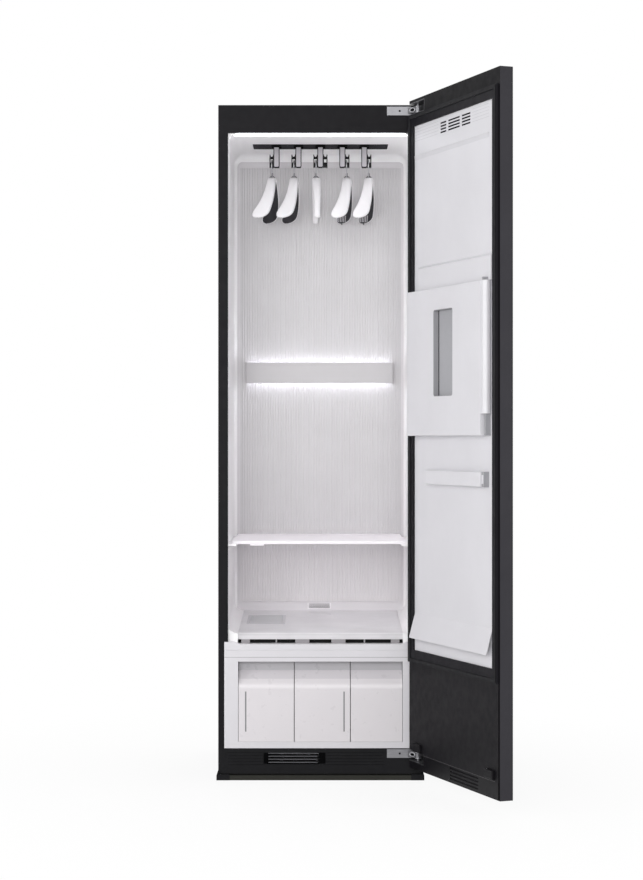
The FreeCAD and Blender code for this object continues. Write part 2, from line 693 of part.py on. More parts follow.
def outer_casing():
    """One folded sheet: two sides and the top."""
    body = new_body("casing")
    side, top = "half", "body_height"
    outline = [
        ("0 - half", "casing_bottom"),
        ("0 - half", top),
        (side, top),
        (side, "casing_bottom"),
        ("inside", "casing_bottom"),
        ("inside", "casing_top"),
        ("0 - inside", "casing_top"),
        ("0 - inside", "casing_bottom"),
    ]
    pad(body, "wrap", "XZ", "body_depth", outline)
    folds = [{"x": "half", "z": top}, {"x": "0 - half", "z": top}]
    soften(body, "folds", "casing_bend", *folds)
    node("outer_casing", body)


def back_panel():
    """Sheet with two groups of louvres and the hole for the cord gland."""
    body = new_body("back", Base_y="back_inside")
    heights = ("casing_bottom", "casing_top")
    pad(body, "back_sheet", "XZ", "sheet_steel", rectangle(across("inside"), heights))
    first = ("vent_bottom", "vent_bottom + vent_height")
    right = ("vent_x - vent_width / 2", "vent_x + vent_width / 2")
    left = ("0 - vent_x - vent_width / 2", "0 - vent_x + vent_width / 2")
    slots = [rectangle(right, first), rectangle(left, first)]
    louvre = pocket(body, "louvre", "XZ", "sheet_steel", *slots)
    rows(body, "louvres", louvre, "V_Axis", "vent_pitch", "vent_count")
    start = ("gland_x", "back_inside - 1", "gland_z")
    hole = rod("gland_hole", "gland_radius", start, "sheet_steel + 2", "y")
    node("back_panel", cut("back_with_hole", body, hole))


def cord_gland():
    """Moulded bush for the supply cord: square flange, twelve-sided sleeve."""
    xs = ("gland_x - gland_flange", "gland_x + gland_flange")
    zs = ("gland_z - gland_flange", "gland_z + gland_flange")
    flange = box("gland_flange_plate", xs, ("body_depth", "body_depth + 3"), zs)
    sleeve_at = ("gland_x", "back_inside - 6", "gland_z")
    sleeve_length = "body_depth - back_inside + 6"
    sleeve = prism("gland_sleeve", 12, "gland_radius - run_gap", sleeve_at, sleeve_length, "y")
    bore_at = ("gland_x", "back_inside - 7", "gland_z")
    bore = prism("gland_bore_hole", 12, "gland_bore", bore_at, "20", "y")
    node("cord_gland", cut("gland", fused("gland_solid", flange, sleeve), bore))


def front_surround():
    """Black frame round the chamber, stepping out beside the tank bay."""
    body = new_body("surround")
    outline = [
        ("0 - inside", "base_top"),
        ("0 - inside", "casing_top"),
        ("inside", "casing_top"),
        ("inside", "base_top"),
        ("low_opening", "base_top"),
        ("low_opening", "band_top"),
        ("opening", "band_top"),
        ("opening", "chamber_top"),
        ("0 - opening", "chamber_top"),
        ("0 - opening", "band_top"),
        ("0 - low_opening", "band_top"),
        ("0 - low_opening", "base_top"),
    ]
    pad(body, "frame", "XZ", "surround_depth", outline)
    node("front_surround", body)


def base_grille():
    """Black panel with pressed grooves and open louvres."""
    body = new_body("grille")
    heights = ("grille_bottom", "base_top")
    pad(body, "plate", "XZ", "grille_depth", rectangle(across("inside"), heights))
    groove_zs = ("groove_bottom", "groove_bottom + groove_width")
    groove_loop = rectangle(("0 - groove_left", "groove_right"), groove_zs)
    groove = pocket(body, "groove", "XZ", "groove_depth", groove_loop)
    rows(body, "grooves", groove, "V_Axis", "groove_pitch", "groove_count")
    low = "groove_bottom + groove_width / 2 + (groove_pitch - louvre_height) / 2"
    louvre_loop = rectangle(("0 - louvre_left", "0 - louvre_right"), (low, f"{low} + louvre_height"))
    louvre = pocket(body, "louvre_slot", "XZ", "grille_depth", louvre_loop)
    rows(body, "louvre_slots", louvre, "V_Axis", "groove_pitch", "groove_count - 1")
    node("base_grille", body)


def foot_strip():
    """Plain strip under the base grille, with an end cap that flares out at each side."""
    body = new_body("strip", Base_x="0 - strip_half")
    outline = [
        ("0 - strip_front", "0"),
        ("0 - strip_front", "strip_step"),
        ("surround_depth", "strip_step"),
        ("surround_depth", "pan_bottom"),
        ("strip_back", "pan_bottom"),
        ("strip_back", "0"),
    ]
    pad(body, "strip_section", "YZ", "2 * strip_half", outline)
    node("foot_strip", body)
    caps = new_body("caps", Base_y="0 - strip_front - cap_front")
    loops = []
    for sign in ("", "0 - "):
        corners = [
            ("strip_half", "0"),
            ("cap_half", "0"),
            ("cap_half", "strip_step"),
            ("half + seat_gap", "cap_top"),
            ("half + seat_gap", "pan_bottom"),
            ("strip_half", "pan_bottom"),
        ]
        loops.append([(f"{sign}({x})", z) for x, z in corners])
    pad(caps, "cap_outline", "XZ", "strip_front + cap_front + strip_back", *loops)
    node("strip_end_caps", caps)


def base_pan():
    """Folded tray that carries the machine compartment."""
    depths = ("surround_depth", "back_inside")
    outer = box("pan_outer", across("inside"), depths, ("pan_bottom", "pan_rim"))
    shorter = ("surround_depth + pan_sheet", "back_inside - pan_sheet")
    inner = box("pan_inner", across("inside - pan_sheet"), shorter, ("pan_floor", "pan_rim + 1"))
    node("base_pan", cut("pan", outer, inner))


def levelling_feet():
    feet = []
    for label, x in (("left", "0 - foot_half"), ("right", "foot_half")):
        for row_name, y in (("front", "foot_front"), ("back", "foot_back")):
            name = f"{label}_{row_name}"
            disc = prism(f"{name}_disc", 12, "foot_radius", (x, y, "0"), "foot_disc")
            stem = prism(f"{name}_stem", 6, "foot_stem", (x, y, "0"), "pan_bottom")
            feet.append(fused(f"{name}_foot", disc, stem))
    node("levelling_feet", group("feet", *feet))


# ---------------------------------------------------------------- chamber


def liner_cove(name, side):
    """Hollow curve from a side wall of the liner into the sloping chamber floor."""
    xs = ("cove_foot", "chamber_half") if side > 0 else ("0 - chamber_half", "0 - cove_foot")
    body = new_body(name, Base_x=xs[0])
    top = "floor_z + cove_radius"
    outline = [
        ("surround_depth", "chamber_foot"),
        ("surround_depth", f"{top} + floor_rise * surround_depth"),
        ("chamber_depth", f"{top} + floor_rise * chamber_depth"),
        ("chamber_depth", "chamber_foot"),
    ]
    pad(body, name + "_block", "YZ", "cove_radius", outline)
    start = ("cove_foot" if side > 0 else "0 - cove_foot", "0", top)
    curve = rod(name + "_curve", "cove_radius", start, "body_depth")
    curve.Placement = Placement(Vector(), Rotation(Vector(1, 0, 0), 1))
    bind(curve, **{"Placement.Rotation.Angle": "atan(floor_rise) - 90 deg"})
    bind(curve, Base_x=start[0], Base_y=start[1], Base_z=top)
    return cut(name, body, curve)


def inner_liner():
    """Moulded tub, open at the front, with the shelf's ledges and a cove beside the floor."""
    body = new_body("liner", Base_y="surround_depth")
    outer = rectangle(across("chamber_half + liner_wall"), ("liner_foot", "liner_roof"))
    pad(body, "tub", "XZ", "liner_back - surround_depth", outer)
    inner = rectangle(across("chamber_half"), ("chamber_foot", "chamber_top"))
    pocket(body, "hollow", "XZ", "chamber_depth - surround_depth", inner)
    back = "chamber_depth - surround_depth"
    corners = [{"x": "chamber_half", "y": back}, {"x": "0 - chamber_half", "y": back}]
    soften(body, "back_corners", "corner_radius", *corners)
    soften(body, "ceiling_corner", "ceiling_radius", {"y": back, "z": "chamber_top"})
    plate = box(
        "ceiling_cutout",
        across("plate_width / 2"),
        ("hanger_depth - plate_depth / 2", "hanger_depth + plate_depth / 2"),
        ("chamber_top - 1", "liner_roof + 1"),
    )
    outlet = box(
        "outlet_cutout",
        ("0 - outlet_left", "outlet_width - outlet_left"),
        ("chamber_depth - 1", "liner_back + 1"),
        ("outlet_bottom", "outlet_bottom + outlet_height"),
    )
    plenum = box(
        "plenum_port",
        across("coil_half"),
        ("chamber_depth / 2 - 60", "chamber_depth / 2 + 60"),
        ("liner_foot - 1", "chamber_foot + 1"),
    )
    ledge_zs = ("ledge_top - ledge_height", "ledge_top")
    ledge_ys = ("shelf_front + 5", "shelf_back")
    left_xs = ("0 - chamber_half", "ledge_lap - shelf_left")
    right_xs = ("shelf_right - ledge_lap", "chamber_half")
    left = box("left_ledge", left_xs, ledge_ys, ledge_zs)
    right = box("right_ledge", right_xs, ledge_ys, ledge_zs)
    shell = cut("liner_shell", body, plate, outlet, plenum)
    coves = [liner_cove("left_cove", -1), liner_cove("right_cove", 1)]
    node("inner_liner", fused("liner_with_ledges", shell, left, right, *coves))


def back_wall_panel():
    """Fluted panel on the liner's back wall."""
    body = new_body("wall", Base_y="wall_front")
    edge = "chamber_half - panel_edge"
    heights = ("panel_bottom", "chamber_top - panel_top_gap")
    pad(body, "wall_sheet", "XZ", "panel_thick", rectangle(across(edge), heights))
    first = f"flute_pitch - ({edge})"
    flute_loop = [
        (f"{first} - flute_width / 2", "0"),
        (f"{first} + flute_width / 2", "0"),
        (first, "flute_depth"),
    ]
    flute = pocket(body, "flute", "XY", "chamber_top", flute_loop)
    rows(body, "flutes", flute, "H_Axis", "flute_pitch", f"floor(2 * ({edge}) / flute_pitch) - 1")
    node("back_wall_panel", body)


def light_bar():
    """Satin cover on a rib, with LED strips above and below the rib."""
    body = new_body("bar", Base_x="0 - bar_left")
    top = "bar_bottom + bar_height"
    plate_back = "bar_front + bar_plate"
    rib_low, rib_high = "bar_middle - bar_rib / 2", "bar_middle + bar_rib / 2"
    outline = [
        ("bar_front", "bar_bottom"),
        ("bar_front", top),
        (plate_back, top),
        (plate_back, rib_high),
        ("wall_front", rib_high),
        ("wall_front", rib_low),
        (plate_back, rib_low),
        (plate_back, "bar_bottom"),
    ]
    pad(body, "bar_section", "YZ", "bar_width", outline)
    edges = [{"y": "bar_front", "z": "bar_bottom"}, {"y": "bar_front", "z": top}]
    soften(body, "bar_edges", "bar_edge", *edges)
    node("light_bar_cover", body)
    strip_xs = ("led_margin - bar_left", "bar_width - bar_left - led_margin")
    strip_ys = ("wall_front - led_width - 4", "wall_front - 4")
    upper = box("upper_strip", strip_xs, strip_ys, (rib_high, f"{rib_high} + led_thick"))
    lower = box("lower_strip", strip_xs, strip_ys, (f"{rib_low} - led_thick", rib_low))
    lens_ys = ("lens_front", "lens_front + lens_width")
    lens_zs = ("chamber_top - led_thick", "chamber_top")
    lens = box("ceiling_lens", across("lens_length / 2"), lens_ys, lens_zs)
    node("led_strips", group("lights", upper, lower, lens))


def floor_groove(name, left, right, back):
    """A shallow cut that follows the floor's slope, from the groove's front line to back."""
    body = new_body(name, Base_x=left)
    low = "floor_z - groove_line"
    outline = [
        ("groove_start", f"{low} + floor_rise * groove_start"),
        ("groove_start", "floor_back + 10"),
        (back, "floor_back + 10"),
        (back, f"{low} + floor_rise * ({back})"),
    ]
    pad(body, name + "_section", "YZ", f"({right}) - ({left})", outline)
    return body


def floor_panel():
    """Sloping sheet with a rounded nose, and a cut-out for the lint filter."""
    half_width = "cove_foot - seat_gap"
    body = new_body("chamber_floor", Base_x=f"0 - ({half_width})")
    inner = "nose_front + floor_sheet"
    outline = [
        ("nose_front", "nose_foot"),
        ("nose_front", "floor_front"),
        ("floor_end", "floor_back"),
        ("floor_end", "floor_back - floor_sheet"),
        (inner, "floor_front - floor_sheet"),
        (inner, "nose_foot"),
    ]
    pad(body, "floor_section", "YZ", f"2 * ({half_width})", outline)
    outer_edge = {"y": "nose_front", "z": "floor_front"}
    inner_edge = {"y": inner, "z": "floor_front - floor_sheet"}
    soften(body, "nose", "nose_round", outer_edge)
    soften(body, "nose_inside", "nose_round - floor_sheet", inner_edge)
    clear = "filter_lap - seat_gap"
    slot_xs = (f"{clear} - filter_left", f"filter_width - filter_left - ({clear})")
    slot_ys = (f"filter_front + {clear}", f"filter_front + filter_depth - ({clear})")
    slot = box("filter_slot", slot_xs, slot_ys, ("nose_foot", "floor_back + 10"))
    grooves = [
        floor_groove("left_groove", "0 - groove_edge", "groove_line - groove_edge", "floor_end + 1"),
        floor_groove("right_groove", "groove_edge - groove_line", "groove_edge", "floor_end + 1"),
        floor_groove("front_groove", "0 - groove_edge", "groove_edge", "groove_start + groove_line"),
    ]
    recess_z = "floor_z + floor_rise * recess_front - recess_depth"
    recess_ys = ("recess_front", "recess_front + recess_length")
    recess_xs = across("recess_width / 2")
    recess = box("finger_recess", recess_xs, recess_ys, (recess_z, "floor_back + 10"))
    back_corners = [{"x": x, "y": recess_ys[1]} for x in recess_xs]
    soft = rounded("finger_recess_soft", recess, "recess_length * 0.6", *back_corners)
    node("floor_panel", cut("floor_cut", body, slot, soft, *grooves))


def lint_filter():
    """Framed filter that lifts out of the floor panel; drawn level, then laid on the slope."""
    deep = "filter_depth"
    flange = box("filter_top", ("0", "filter_width"), ("0", deep), ("0", "filter_flange"))
    lap_x = ("filter_lap", "filter_width - filter_lap")
    lap_y = ("filter_lap", f"{deep} - filter_lap")
    frame = box("filter_frame", lap_x, lap_y, ("0 - filter_tall", "filter_flange"))
    rim = "filter_lap + filter_rim"
    hollow_x = (rim, f"filter_width - ({rim})")
    hollow_y = (rim, f"{deep} - ({rim})")
    hollow = box("filter_hollow", hollow_x, hollow_y, ("0 - filter_tall - 1", "filter_flange + 1"))
    ring = cut("filter_ring", fused("filter_solid", flange, frame), hollow)
    bars = []
    count = int((number(deep) - 2 * number(rim)) // number("filter_pitch"))
    for index in range(1, count + 1):
        low = f"{rim} + {index} * filter_pitch - filter_rib / 2"
        ys = (low, f"{low} + filter_rib")
        bars.append(box(f"filter_bar_{index}", hollow_x, ys, ("0 - filter_rib", "0")))
    grid = fused("filter_grid", ring, *bars)
    grid.Placement = Placement(Vector(), Rotation(Vector(1, 0, 0), 1))
    bind(grid, **{"Placement.Rotation.Angle": "atan(floor_rise)"})
    bind(grid, Base_x="0 - filter_left", Base_y="filter_front", Base_z="filter_z + seat_gap")
    node("lint_filter", grid)


def intake_slot():
    """Dark comb under the floor panel's nose."""
    zs = ("chamber_foot", "nose_foot")
    back_y = "nose_front + slot_comb"
    comb = [box("comb_plate", across("comb_half"), (back_y, f"{back_y} + comb_back"), zs)]
    ys = ("nose_front + comb_setback", back_y)
    blocks = (
        ("comb_inner_start", "comb_inner_end"),
        ("comb_tick", "comb_tick + comb_tick_width"),
        ("comb_outer - comb_outer_width", "comb_outer"),
    )
    for index, (start, end) in enumerate(blocks):
        left = (f"0 - ({end})", f"0 - ({start})")
        comb.append(box(f"comb_left_{index}", left, ys, zs))
        comb.append(box(f"comb_right_{index}", (start, end), ys, zs))
    node("intake_slot", fused("comb", *comb))


def air_outlet_grille():
    """Louvred insert low in the back wall."""
    body = new_body("outlet", Base_y="liner_back - outlet_thick")
    xs = ("0 - outlet_left", "outlet_width - outlet_left")
    top = "outlet_bottom + outlet_height"
    pad(body, "outlet_plate", "XZ", "outlet_thick", rectangle(xs, ("outlet_bottom", top)))
    slot_xs = ("3 - outlet_left", "outlet_width - outlet_left - 3")
    slot_zs = ("outlet_bottom + 2.5", "outlet_bottom + 4.5")
    slot = pocket(body, "outlet_slot", "XZ", "outlet_thick", rectangle(slot_xs, slot_zs))
    rows(body, "outlet_slots", slot, "V_Axis", "3.8", "4")
    node("air_outlet_grille", body)


def shelf():
    """Plain shelf with cut back corners and a small stop below its left end."""
    body = new_body("shelf_body", Base_z="shelf_bottom")
    outline = [
        ("0 - shelf_left", "shelf_front"),
        ("shelf_right", "shelf_front"),
        ("shelf_right", "shelf_back - shelf_corner"),
        ("shelf_right - shelf_corner", "shelf_back"),
        ("shelf_corner - shelf_left", "shelf_back"),
        ("0 - shelf_left", "shelf_back - shelf_corner"),
    ]
    pad(body, "shelf_slab", "XY", "shelf_thick", outline)
    front = [{"y": "shelf_front", "z": "shelf_thick"}, {"y": "shelf_front", "z": "0"}]
    soften(body, "shelf_edge", "shelf_thick / 3", *front)
    stop_xs = ("0 - 204", "shelf_stop - 204")
    stop_ys = ("shelf_front + 6", "shelf_front + 26")
    stop = box("stop_block", stop_xs, stop_ys, ("shelf_bottom - 5", "shelf_bottom"))
    node("shelf", fused("shelf_with_stop", body, stop))


# ---------------------------------------------------------------- tank bay


def tank_band():
    """White band above the tanks, with one fine groove and raised ends."""
    half_width = "low_opening - seat_gap"
    body = new_body("band", Base_x=f"0 - ({half_width})")
    outline = [
        ("0", "band_bottom"),
        ("0", "band_groove - groove_size"),
        ("groove_size", "band_groove"),
        ("0", "band_groove + groove_size"),
        ("0", "band_top"),
        ("surround_depth", "band_top"),
        ("surround_depth", "band_bottom"),
    ]
    pad(body, "band_section", "YZ", f"2 * ({half_width})", outline)
    far = f"2 * ({half_width}) - band_end"
    dip = [
        ("band_end", "band_top + 1"),
        ("band_end", "band_top"),
        ("band_end + band_slope", "chamber_foot"),
        (f"{far} - band_slope", "chamber_foot"),
        (far, "band_top"),
        (far, "band_top + 1"),
    ]
    pocket(body, "band_dip", "XZ", "surround_depth", dip)
    soften(body, "band_edge", "band_chamfer", {"y": "0", "z": "chamber_foot"})
    node("tank_band", body)


def tank_bay():
    """White frame and the five-walled housing behind it, with guide ribs."""
    frame = new_body("bay_frame")
    outer = rectangle(across("low_opening - seat_gap"), ("base_top", "band_bottom"))
    inner = rectangle(across("bay_half"), ("bay_bottom", "bay_top"))
    pad(frame, "frame_plate", "XZ", "bay_frame_depth", outer, inner)
    node("tank_bay_frame", frame)
    shell = new_body("bay_shell", Base_y="bay_frame_depth")
    walls = rectangle(across("bay_half + bay_wall"), ("bay_bottom - bay_wall", "bay_top + bay_wall"))
    depth = "bay_back - bay_frame_depth"
    pad(shell, "bay_block", "XZ", f"{depth} + bay_wall", walls)
    pocket(shell, "bay_hollow", "XZ", depth, inner)
    ribs = []
    first = "0 - bay_half + tank_side_gap + tank_width + tank_gap / 2"
    for index, middle in enumerate((first, f"{first} + tank_width + tank_gap")):
        xs = (f"{middle} - rib_width / 2", f"{middle} + rib_width / 2")
        ys = ("tank_face + front_flange + 10", "bay_back")
        ribs.append(box(f"guide_rib_{index}", xs, ys, ("bay_bottom", "bay_bottom + rib_height")))
    node("bay_housing", fused("housing", shell, *ribs))


def container(name, left, width):
    """A tank or drawer: rounded front, finger scoop, narrower box behind."""
    body = new_body(name, Base_x=left)
    outline = [
        ("tank_face", "tank_foot"),
        ("tank_face", "scoop_start"),
        ("scoop_back", "scoop_foot"),
        ("scoop_back", "tank_top"),
        ("tank_back", "tank_top"),
        ("tank_back", "tank_foot"),
    ]
    pad(body, name + "_side", "YZ", width, outline)
    soften(body, name + "_front", "front_round", {"y": "tank_face", "z": "scoop_start"})
    lean = "tank_wall * 1.2"
    hollow = [
        ("tank_face + tank_wall", "tank_foot + tank_wall"),
        ("tank_face + tank_wall", f"scoop_start - {lean}"),
        ("scoop_back + tank_wall", f"scoop_foot - {lean}"),
        ("scoop_back + tank_wall", "tank_top + 1"),
        ("tank_back - tank_wall", "tank_top + 1"),
        ("tank_back - tank_wall", "tank_foot + tank_wall"),
    ]
    inside = new_body(name + "_inside", Base_x=f"({left}) + tank_inset + tank_wall")
    pad(inside, name + "_hollow", "YZ", f"({width}) - 2 * (tank_inset + tank_wall)", hollow)
    front_edge = {"y": "tank_face + tank_wall", "z": f"scoop_start - {lean}"}
    soften(inside, name + "_inner_front", "front_round", front_edge)
    ys = ("tank_face + front_flange", "tank_back + 1")
    zs = ("tank_foot - 1", "tank_top + 1")
    near = box(name + "_near_side", (f"({left}) - 1", f"({left}) + tank_inset"), ys, zs)
    far_edge = f"({left}) + ({width})"
    far = box(name + "_far_side", (f"{far_edge} - tank_inset", f"{far_edge} + 1"), ys, zs)
    return cut(name + "_shell", body, inside, near, far)


def water_tank(name, left, window_left):
    """Container with a lid and a recess for its level window."""
    shell = container(name + "_box", left, "tank_width")
    window = box(
        name + "_window",
        (window_left, f"{window_left} + window_width"),
        ("tank_face - 1", "tank_face + window_depth"),
        ("window_bottom", "window_bottom + window_height"),
    )
    wall = "tank_inset + tank_wall"
    lid_xs = (f"({left}) + {wall}", f"({left}) + tank_width - ({wall})")
    lid_ys = ("scoop_back + tank_wall", "tank_back - tank_wall")
    lid = box(name + "_lid", lid_xs, lid_ys, ("tank_top - lid_thick", "tank_top"))
    node(name, group(name + "_pieces", cut(name + "_front", shell, window), lid))


def tanks():
    left = "tank_side_gap - bay_half"
    middle = f"{left} + tank_width + tank_gap"
    water_tank("supply_tank", left, f"{left} + window_inset")
    water_tank("drain_tank", middle, f"{middle} + tank_width - window_inset")
    node("storage_drawer", container("storage", "drawer_left", "drawer_width"))


# ---------------------------------------------------------------- machine compartment


def compressor():
    """Steel shell with a raised cap, on a foot plate."""
    x, y = "0 - compressor_x", "machine_y"
    length = "compressor_height - compressor_dome"
    shell = rod("compressor_shell", "compressor_radius", (x, y, "pan_floor"), length)
    cap_at = (x, y, f"pan_floor + {length}")
    cap = rod("compressor_cap", "compressor_radius - compressor_dome", cap_at, "compressor_dome")
    xs = ("0 - compressor_x - compressor_radius", "compressor_radius - compressor_x")
    ys = ("machine_y - compressor_radius", "machine_y + compressor_radius")
    plate = box("compressor_feet", xs, ys, ("pan_floor", "pan_floor + 6"))
    node("compressor", fused("compressor_body", shell, cap, plate))


def steam_generator():
    top = "pan_floor + steamer_height"
    xs = ("steamer_left", "steamer_left + steamer_width")
    ys = ("machine_y - steamer_depth / 2", "machine_y + steamer_depth / 2")
    block = box("steamer_block", xs, ys, ("pan_floor", top))
    uprights = [{"x": x, "y": y} for x in xs for y in ys]
    soft = rounded("steamer", block, "steamer_round", *uprights)
    node("steam_generator", soft)
    pump_at = ("steamer_left + steamer_width * 0.7", "machine_y", top)
    pump = prism("pump_body", 8, "pump_radius", pump_at, "pump_length")
    spout = rod("pump_spout", "5", pump_at, "pump_length + 16")
    node("water_pump", fused("pump", pump, spout))


def heat_exchangers():
    """Two finned blocks, one behind the other."""
    coils = []
    for name, start in (("evaporator", "coil_front"), ("condenser", "coil_back + coil_gap")):
        body = new_body(name, Base_y=start)
        face = rectangle(across("coil_half"), ("pan_floor", "coil_top"))
        pad(body, name + "_block", "XZ", "coil_depth", face)
        left = "fin_pitch / 2 - coil_half"
        slot = rectangle((left, f"{left} + fin_gap"), ("pan_floor + 8", "coil_top - 8"))
        fin = pocket(body, name + "_gap", "XZ", "fin_depth", slot)
        rows(body, name + "_fins", fin, "H_Axis", "fin_pitch", "floor(2 * coil_half / fin_pitch)")
        coils.append(body)
    node("heat_exchangers", group("coils", *coils))


# Heights of the opening from the fan housing into the duct.
DUCT_INLET = ("duct_bottom + 4", "duct_bottom + 36")


def fan():
    """Round housing over the heat exchangers, a bladed wheel and its motor."""
    middle = ("0", "scroll_front", "fan_z")
    outer = rod("scroll_outer", "scroll_radius", middle, "scroll_depth", "y")
    saddle_zs = ("coil_top", "fan_z")
    saddle_ys = ("scroll_front", "scroll_back")
    saddle = box("scroll_saddle", across("scroll_radius * 0.7"), saddle_ys, saddle_zs)
    inner_at = ("0", "scroll_front + scroll_wall", "fan_z")
    inner_depth = "scroll_depth - 2 * scroll_wall"
    inner = rod("scroll_inner", "scroll_radius - scroll_wall", inner_at, inner_depth, "y")
    eye = rod("scroll_inlet", "scroll_eye", ("0", "scroll_front - 1", "fan_z"), "20", "y")
    back_at = ("0", "scroll_back - scroll_wall - 1", "fan_z")
    shaft_hole = rod("scroll_shaft_hole", "shaft_radius + 2", back_at, "scroll_wall + 2", "y")
    outlet_ys = ("scroll_back - scroll_wall - 1", "scroll_back + 1")
    outlet = box("scroll_outlet", across("duct_half / 2"), outlet_ys, DUCT_INLET)
    solid = fused("scroll_solid", outer, saddle)
    node("fan_housing", cut("scroll", solid, inner, eye, shaft_hole, outlet))
    motor_at = ("0", "scroll_back", "fan_z")
    motor = rod("motor_can", "motor_radius", motor_at, "motor_length", "y")
    wheel_back = "scroll_back - scroll_wall - 10"
    shaft_at = ("0", f"{wheel_back} - wheel_depth / 2", "fan_z")
    shaft_length = f"scroll_back - ({wheel_back}) + wheel_depth / 2"
    shaft = rod("motor_shaft", "shaft_radius", shaft_at, shaft_length, "y")
    node("fan_motor", fused("motor", motor, shaft))
    disc_at = ("0", f"{wheel_back} - wheel_disc", "0")
    disc = rod("wheel_plate", "wheel_radius", disc_at, "wheel_disc", "y")
    hub_at = ("0", f"{wheel_back} - wheel_depth / 2 - 4", "0")
    hub = rod("wheel_hub", "hub_radius", hub_at, "wheel_depth / 2 + 4", "y")
    blades = []
    count = whole("blade_count")
    front = f"{wheel_back} - wheel_depth"
    for index in range(count):
        xs = ("wheel_radius - blade_chord", "wheel_radius - 1")
        blade = box(f"blade_{index}", xs, (front, wheel_back), ("0", "blade_thick"))
        turn = Rotation(Vector(0, 1, 0), 360 * index / count)
        turned = doc.addObject("Part::Compound", f"blade_at_{index}")
        turned.Links = [blade]
        turned.Placement = Placement(Vector(), turn)
        blades.append(turned)
    bore_at = ("0", f"{wheel_back} - wheel_depth / 2 - 5", "0")
    bore = rod("wheel_bore", "shaft_radius + run_gap", bore_at, "wheel_depth / 2 + 6", "y")
    wheel = cut("wheel", fused("wheel_solid", disc, hub, *blades), bore)
    bind(wheel, Base_z="fan_z")
    node("fan_wheel", wheel)


def air_duct():
    """Hollow riser from the fan housing to the outlet low in the chamber's back wall."""

    def riser(name, wall):
        body = new_body(name, Base_x=f"{wall} - duct_half")
        outline = [
            (f"scroll_back + {wall}", f"duct_bottom + {wall}"),
            (f"scroll_back + {wall}", f"duct_shoulder - {wall}"),
            (f"liner_back + {wall}", f"duct_shoulder - {wall}"),
            (f"liner_back + {wall}", f"duct_top - {wall}"),
            (f"duct_back - {wall}", f"duct_top - {wall}"),
            (f"duct_back - {wall}", f"duct_bottom + {wall}"),
        ]
        pad(body, name + "_section", "YZ", f"2 * (duct_half - {wall})", outline)
        return body

    mouth = box(
        "duct_mouth",
        ("0 - outlet_left", "outlet_width - outlet_left"),
        ("liner_back - 1", "liner_back + duct_wall + 1"),
        ("outlet_bottom", "outlet_bottom + outlet_height"),
    )
    inlet_ys = ("scroll_back - 1", "scroll_back + duct_wall + 1")
    inlet = box("duct_inlet", across("duct_half / 2"), inlet_ys, DUCT_INLET)
    node("air_duct", cut("duct", riser("duct_outer", "0"), riser("duct_inner", "duct_wall"), mouth, inlet))


def roof_machinery():
    """Control board's case and the hanger drive, on top of the liner."""
    xs = ("board_x - board_half", "board_x + board_half")
    ys = ("board_y - board_half", "board_y + board_half")
    case = box("board_case", xs, ys, ("liner_roof", "liner_roof + board_height"))
    uprights = [{"x": x, "y": y} for x in xs for y in ys]
    node("control_board", rounded("board_corners", case, "4", *uprights))
    drive_xs = ("0 - drive_x - drive_half", "drive_half - drive_x")
    drive_ys = ("hanger_depth - drive_half", "hanger_depth + drive_half")
    gearbox_top = "liner_roof + drive_height"
    gearbox = box("drive_gearbox", drive_xs, drive_ys, ("liner_roof", gearbox_top))
    motor_at = ("0 - drive_x", "hanger_depth", gearbox_top)
    motor = prism("drive_motor_can", 8, "drive_motor", motor_at, "28")
    node("hanger_drive_motor", fused("hanger_drive", gearbox, motor))


# ---------------------------------------------------------------- moving hangers

# Which side of its holder each hanger's cradle is on.
CRADLE_SIDES = (-1, -1, -1, 1, 1)
SPARE_CRADLE = (0, 1)


def ceiling_plate():
    """Dark plate, flush in the ceiling, with a slot for each holder."""
    body = new_body("plate_body", Base_z="chamber_top - plate_drop")
    ys = ("hanger_depth - plate_depth / 2", "hanger_depth + plate_depth / 2")
    pad(body, "plate_sheet", "XY", "plate_thick", rectangle(across("plate_width / 2"), ys))
    half_slot = "holder_width / 2 + hanger_travel + slot_margin"
    first = "0 - hanger_side * hanger_pitch"
    slot_xs = (f"{first} - ({half_slot})", f"{first} + {half_slot}")
    reach = "holder_depth / 2 + slot_margin"
    slot_ys = (f"hanger_depth - ({reach})", f"hanger_depth + {reach}")
    slot = pocket(body, "holder_slot", "XY", "plate_thick", rectangle(slot_xs, slot_ys))
    rows(body, "holder_slots", slot, "H_Axis", "hanger_pitch", "2 * hanger_side + 1")
    node("ceiling_plate", body)


def cradle(name, holder_x, side):
    """Bar for a hook, between the holder and an upright lip."""
    face = f"({holder_x}) + {side} * holder_width / 2"
    lip_face = f"{face} + {side} * cradle_gap"
    lip_far = f"{lip_face} + {side} * cradle_lip"
    lip_xs = (lip_face, lip_far) if side > 0 else (lip_far, lip_face)
    bar_x = face if side > 0 else lip_face
    ys = ("hanger_depth - cradle_depth / 2", "hanger_depth + cradle_depth / 2")
    top = "holder_foot + cradle_height"
    lip = box(f"{name}_lip", lip_xs, ys, ("holder_foot", top))
    corners = [{"y": y, "z": top} for y in ys]
    soft_lip = rounded(f"{name}_soft_lip", lip, "lip_round", *corners, kind="Part::Chamfer")
    bar_at = (bar_x, "hanger_depth", "cradle_z")
    bar = prism(f"{name}_bar", 8, "cradle_bar", bar_at, "cradle_gap", "x")
    return fused(f"{name}_cradle", soft_lip, bar)


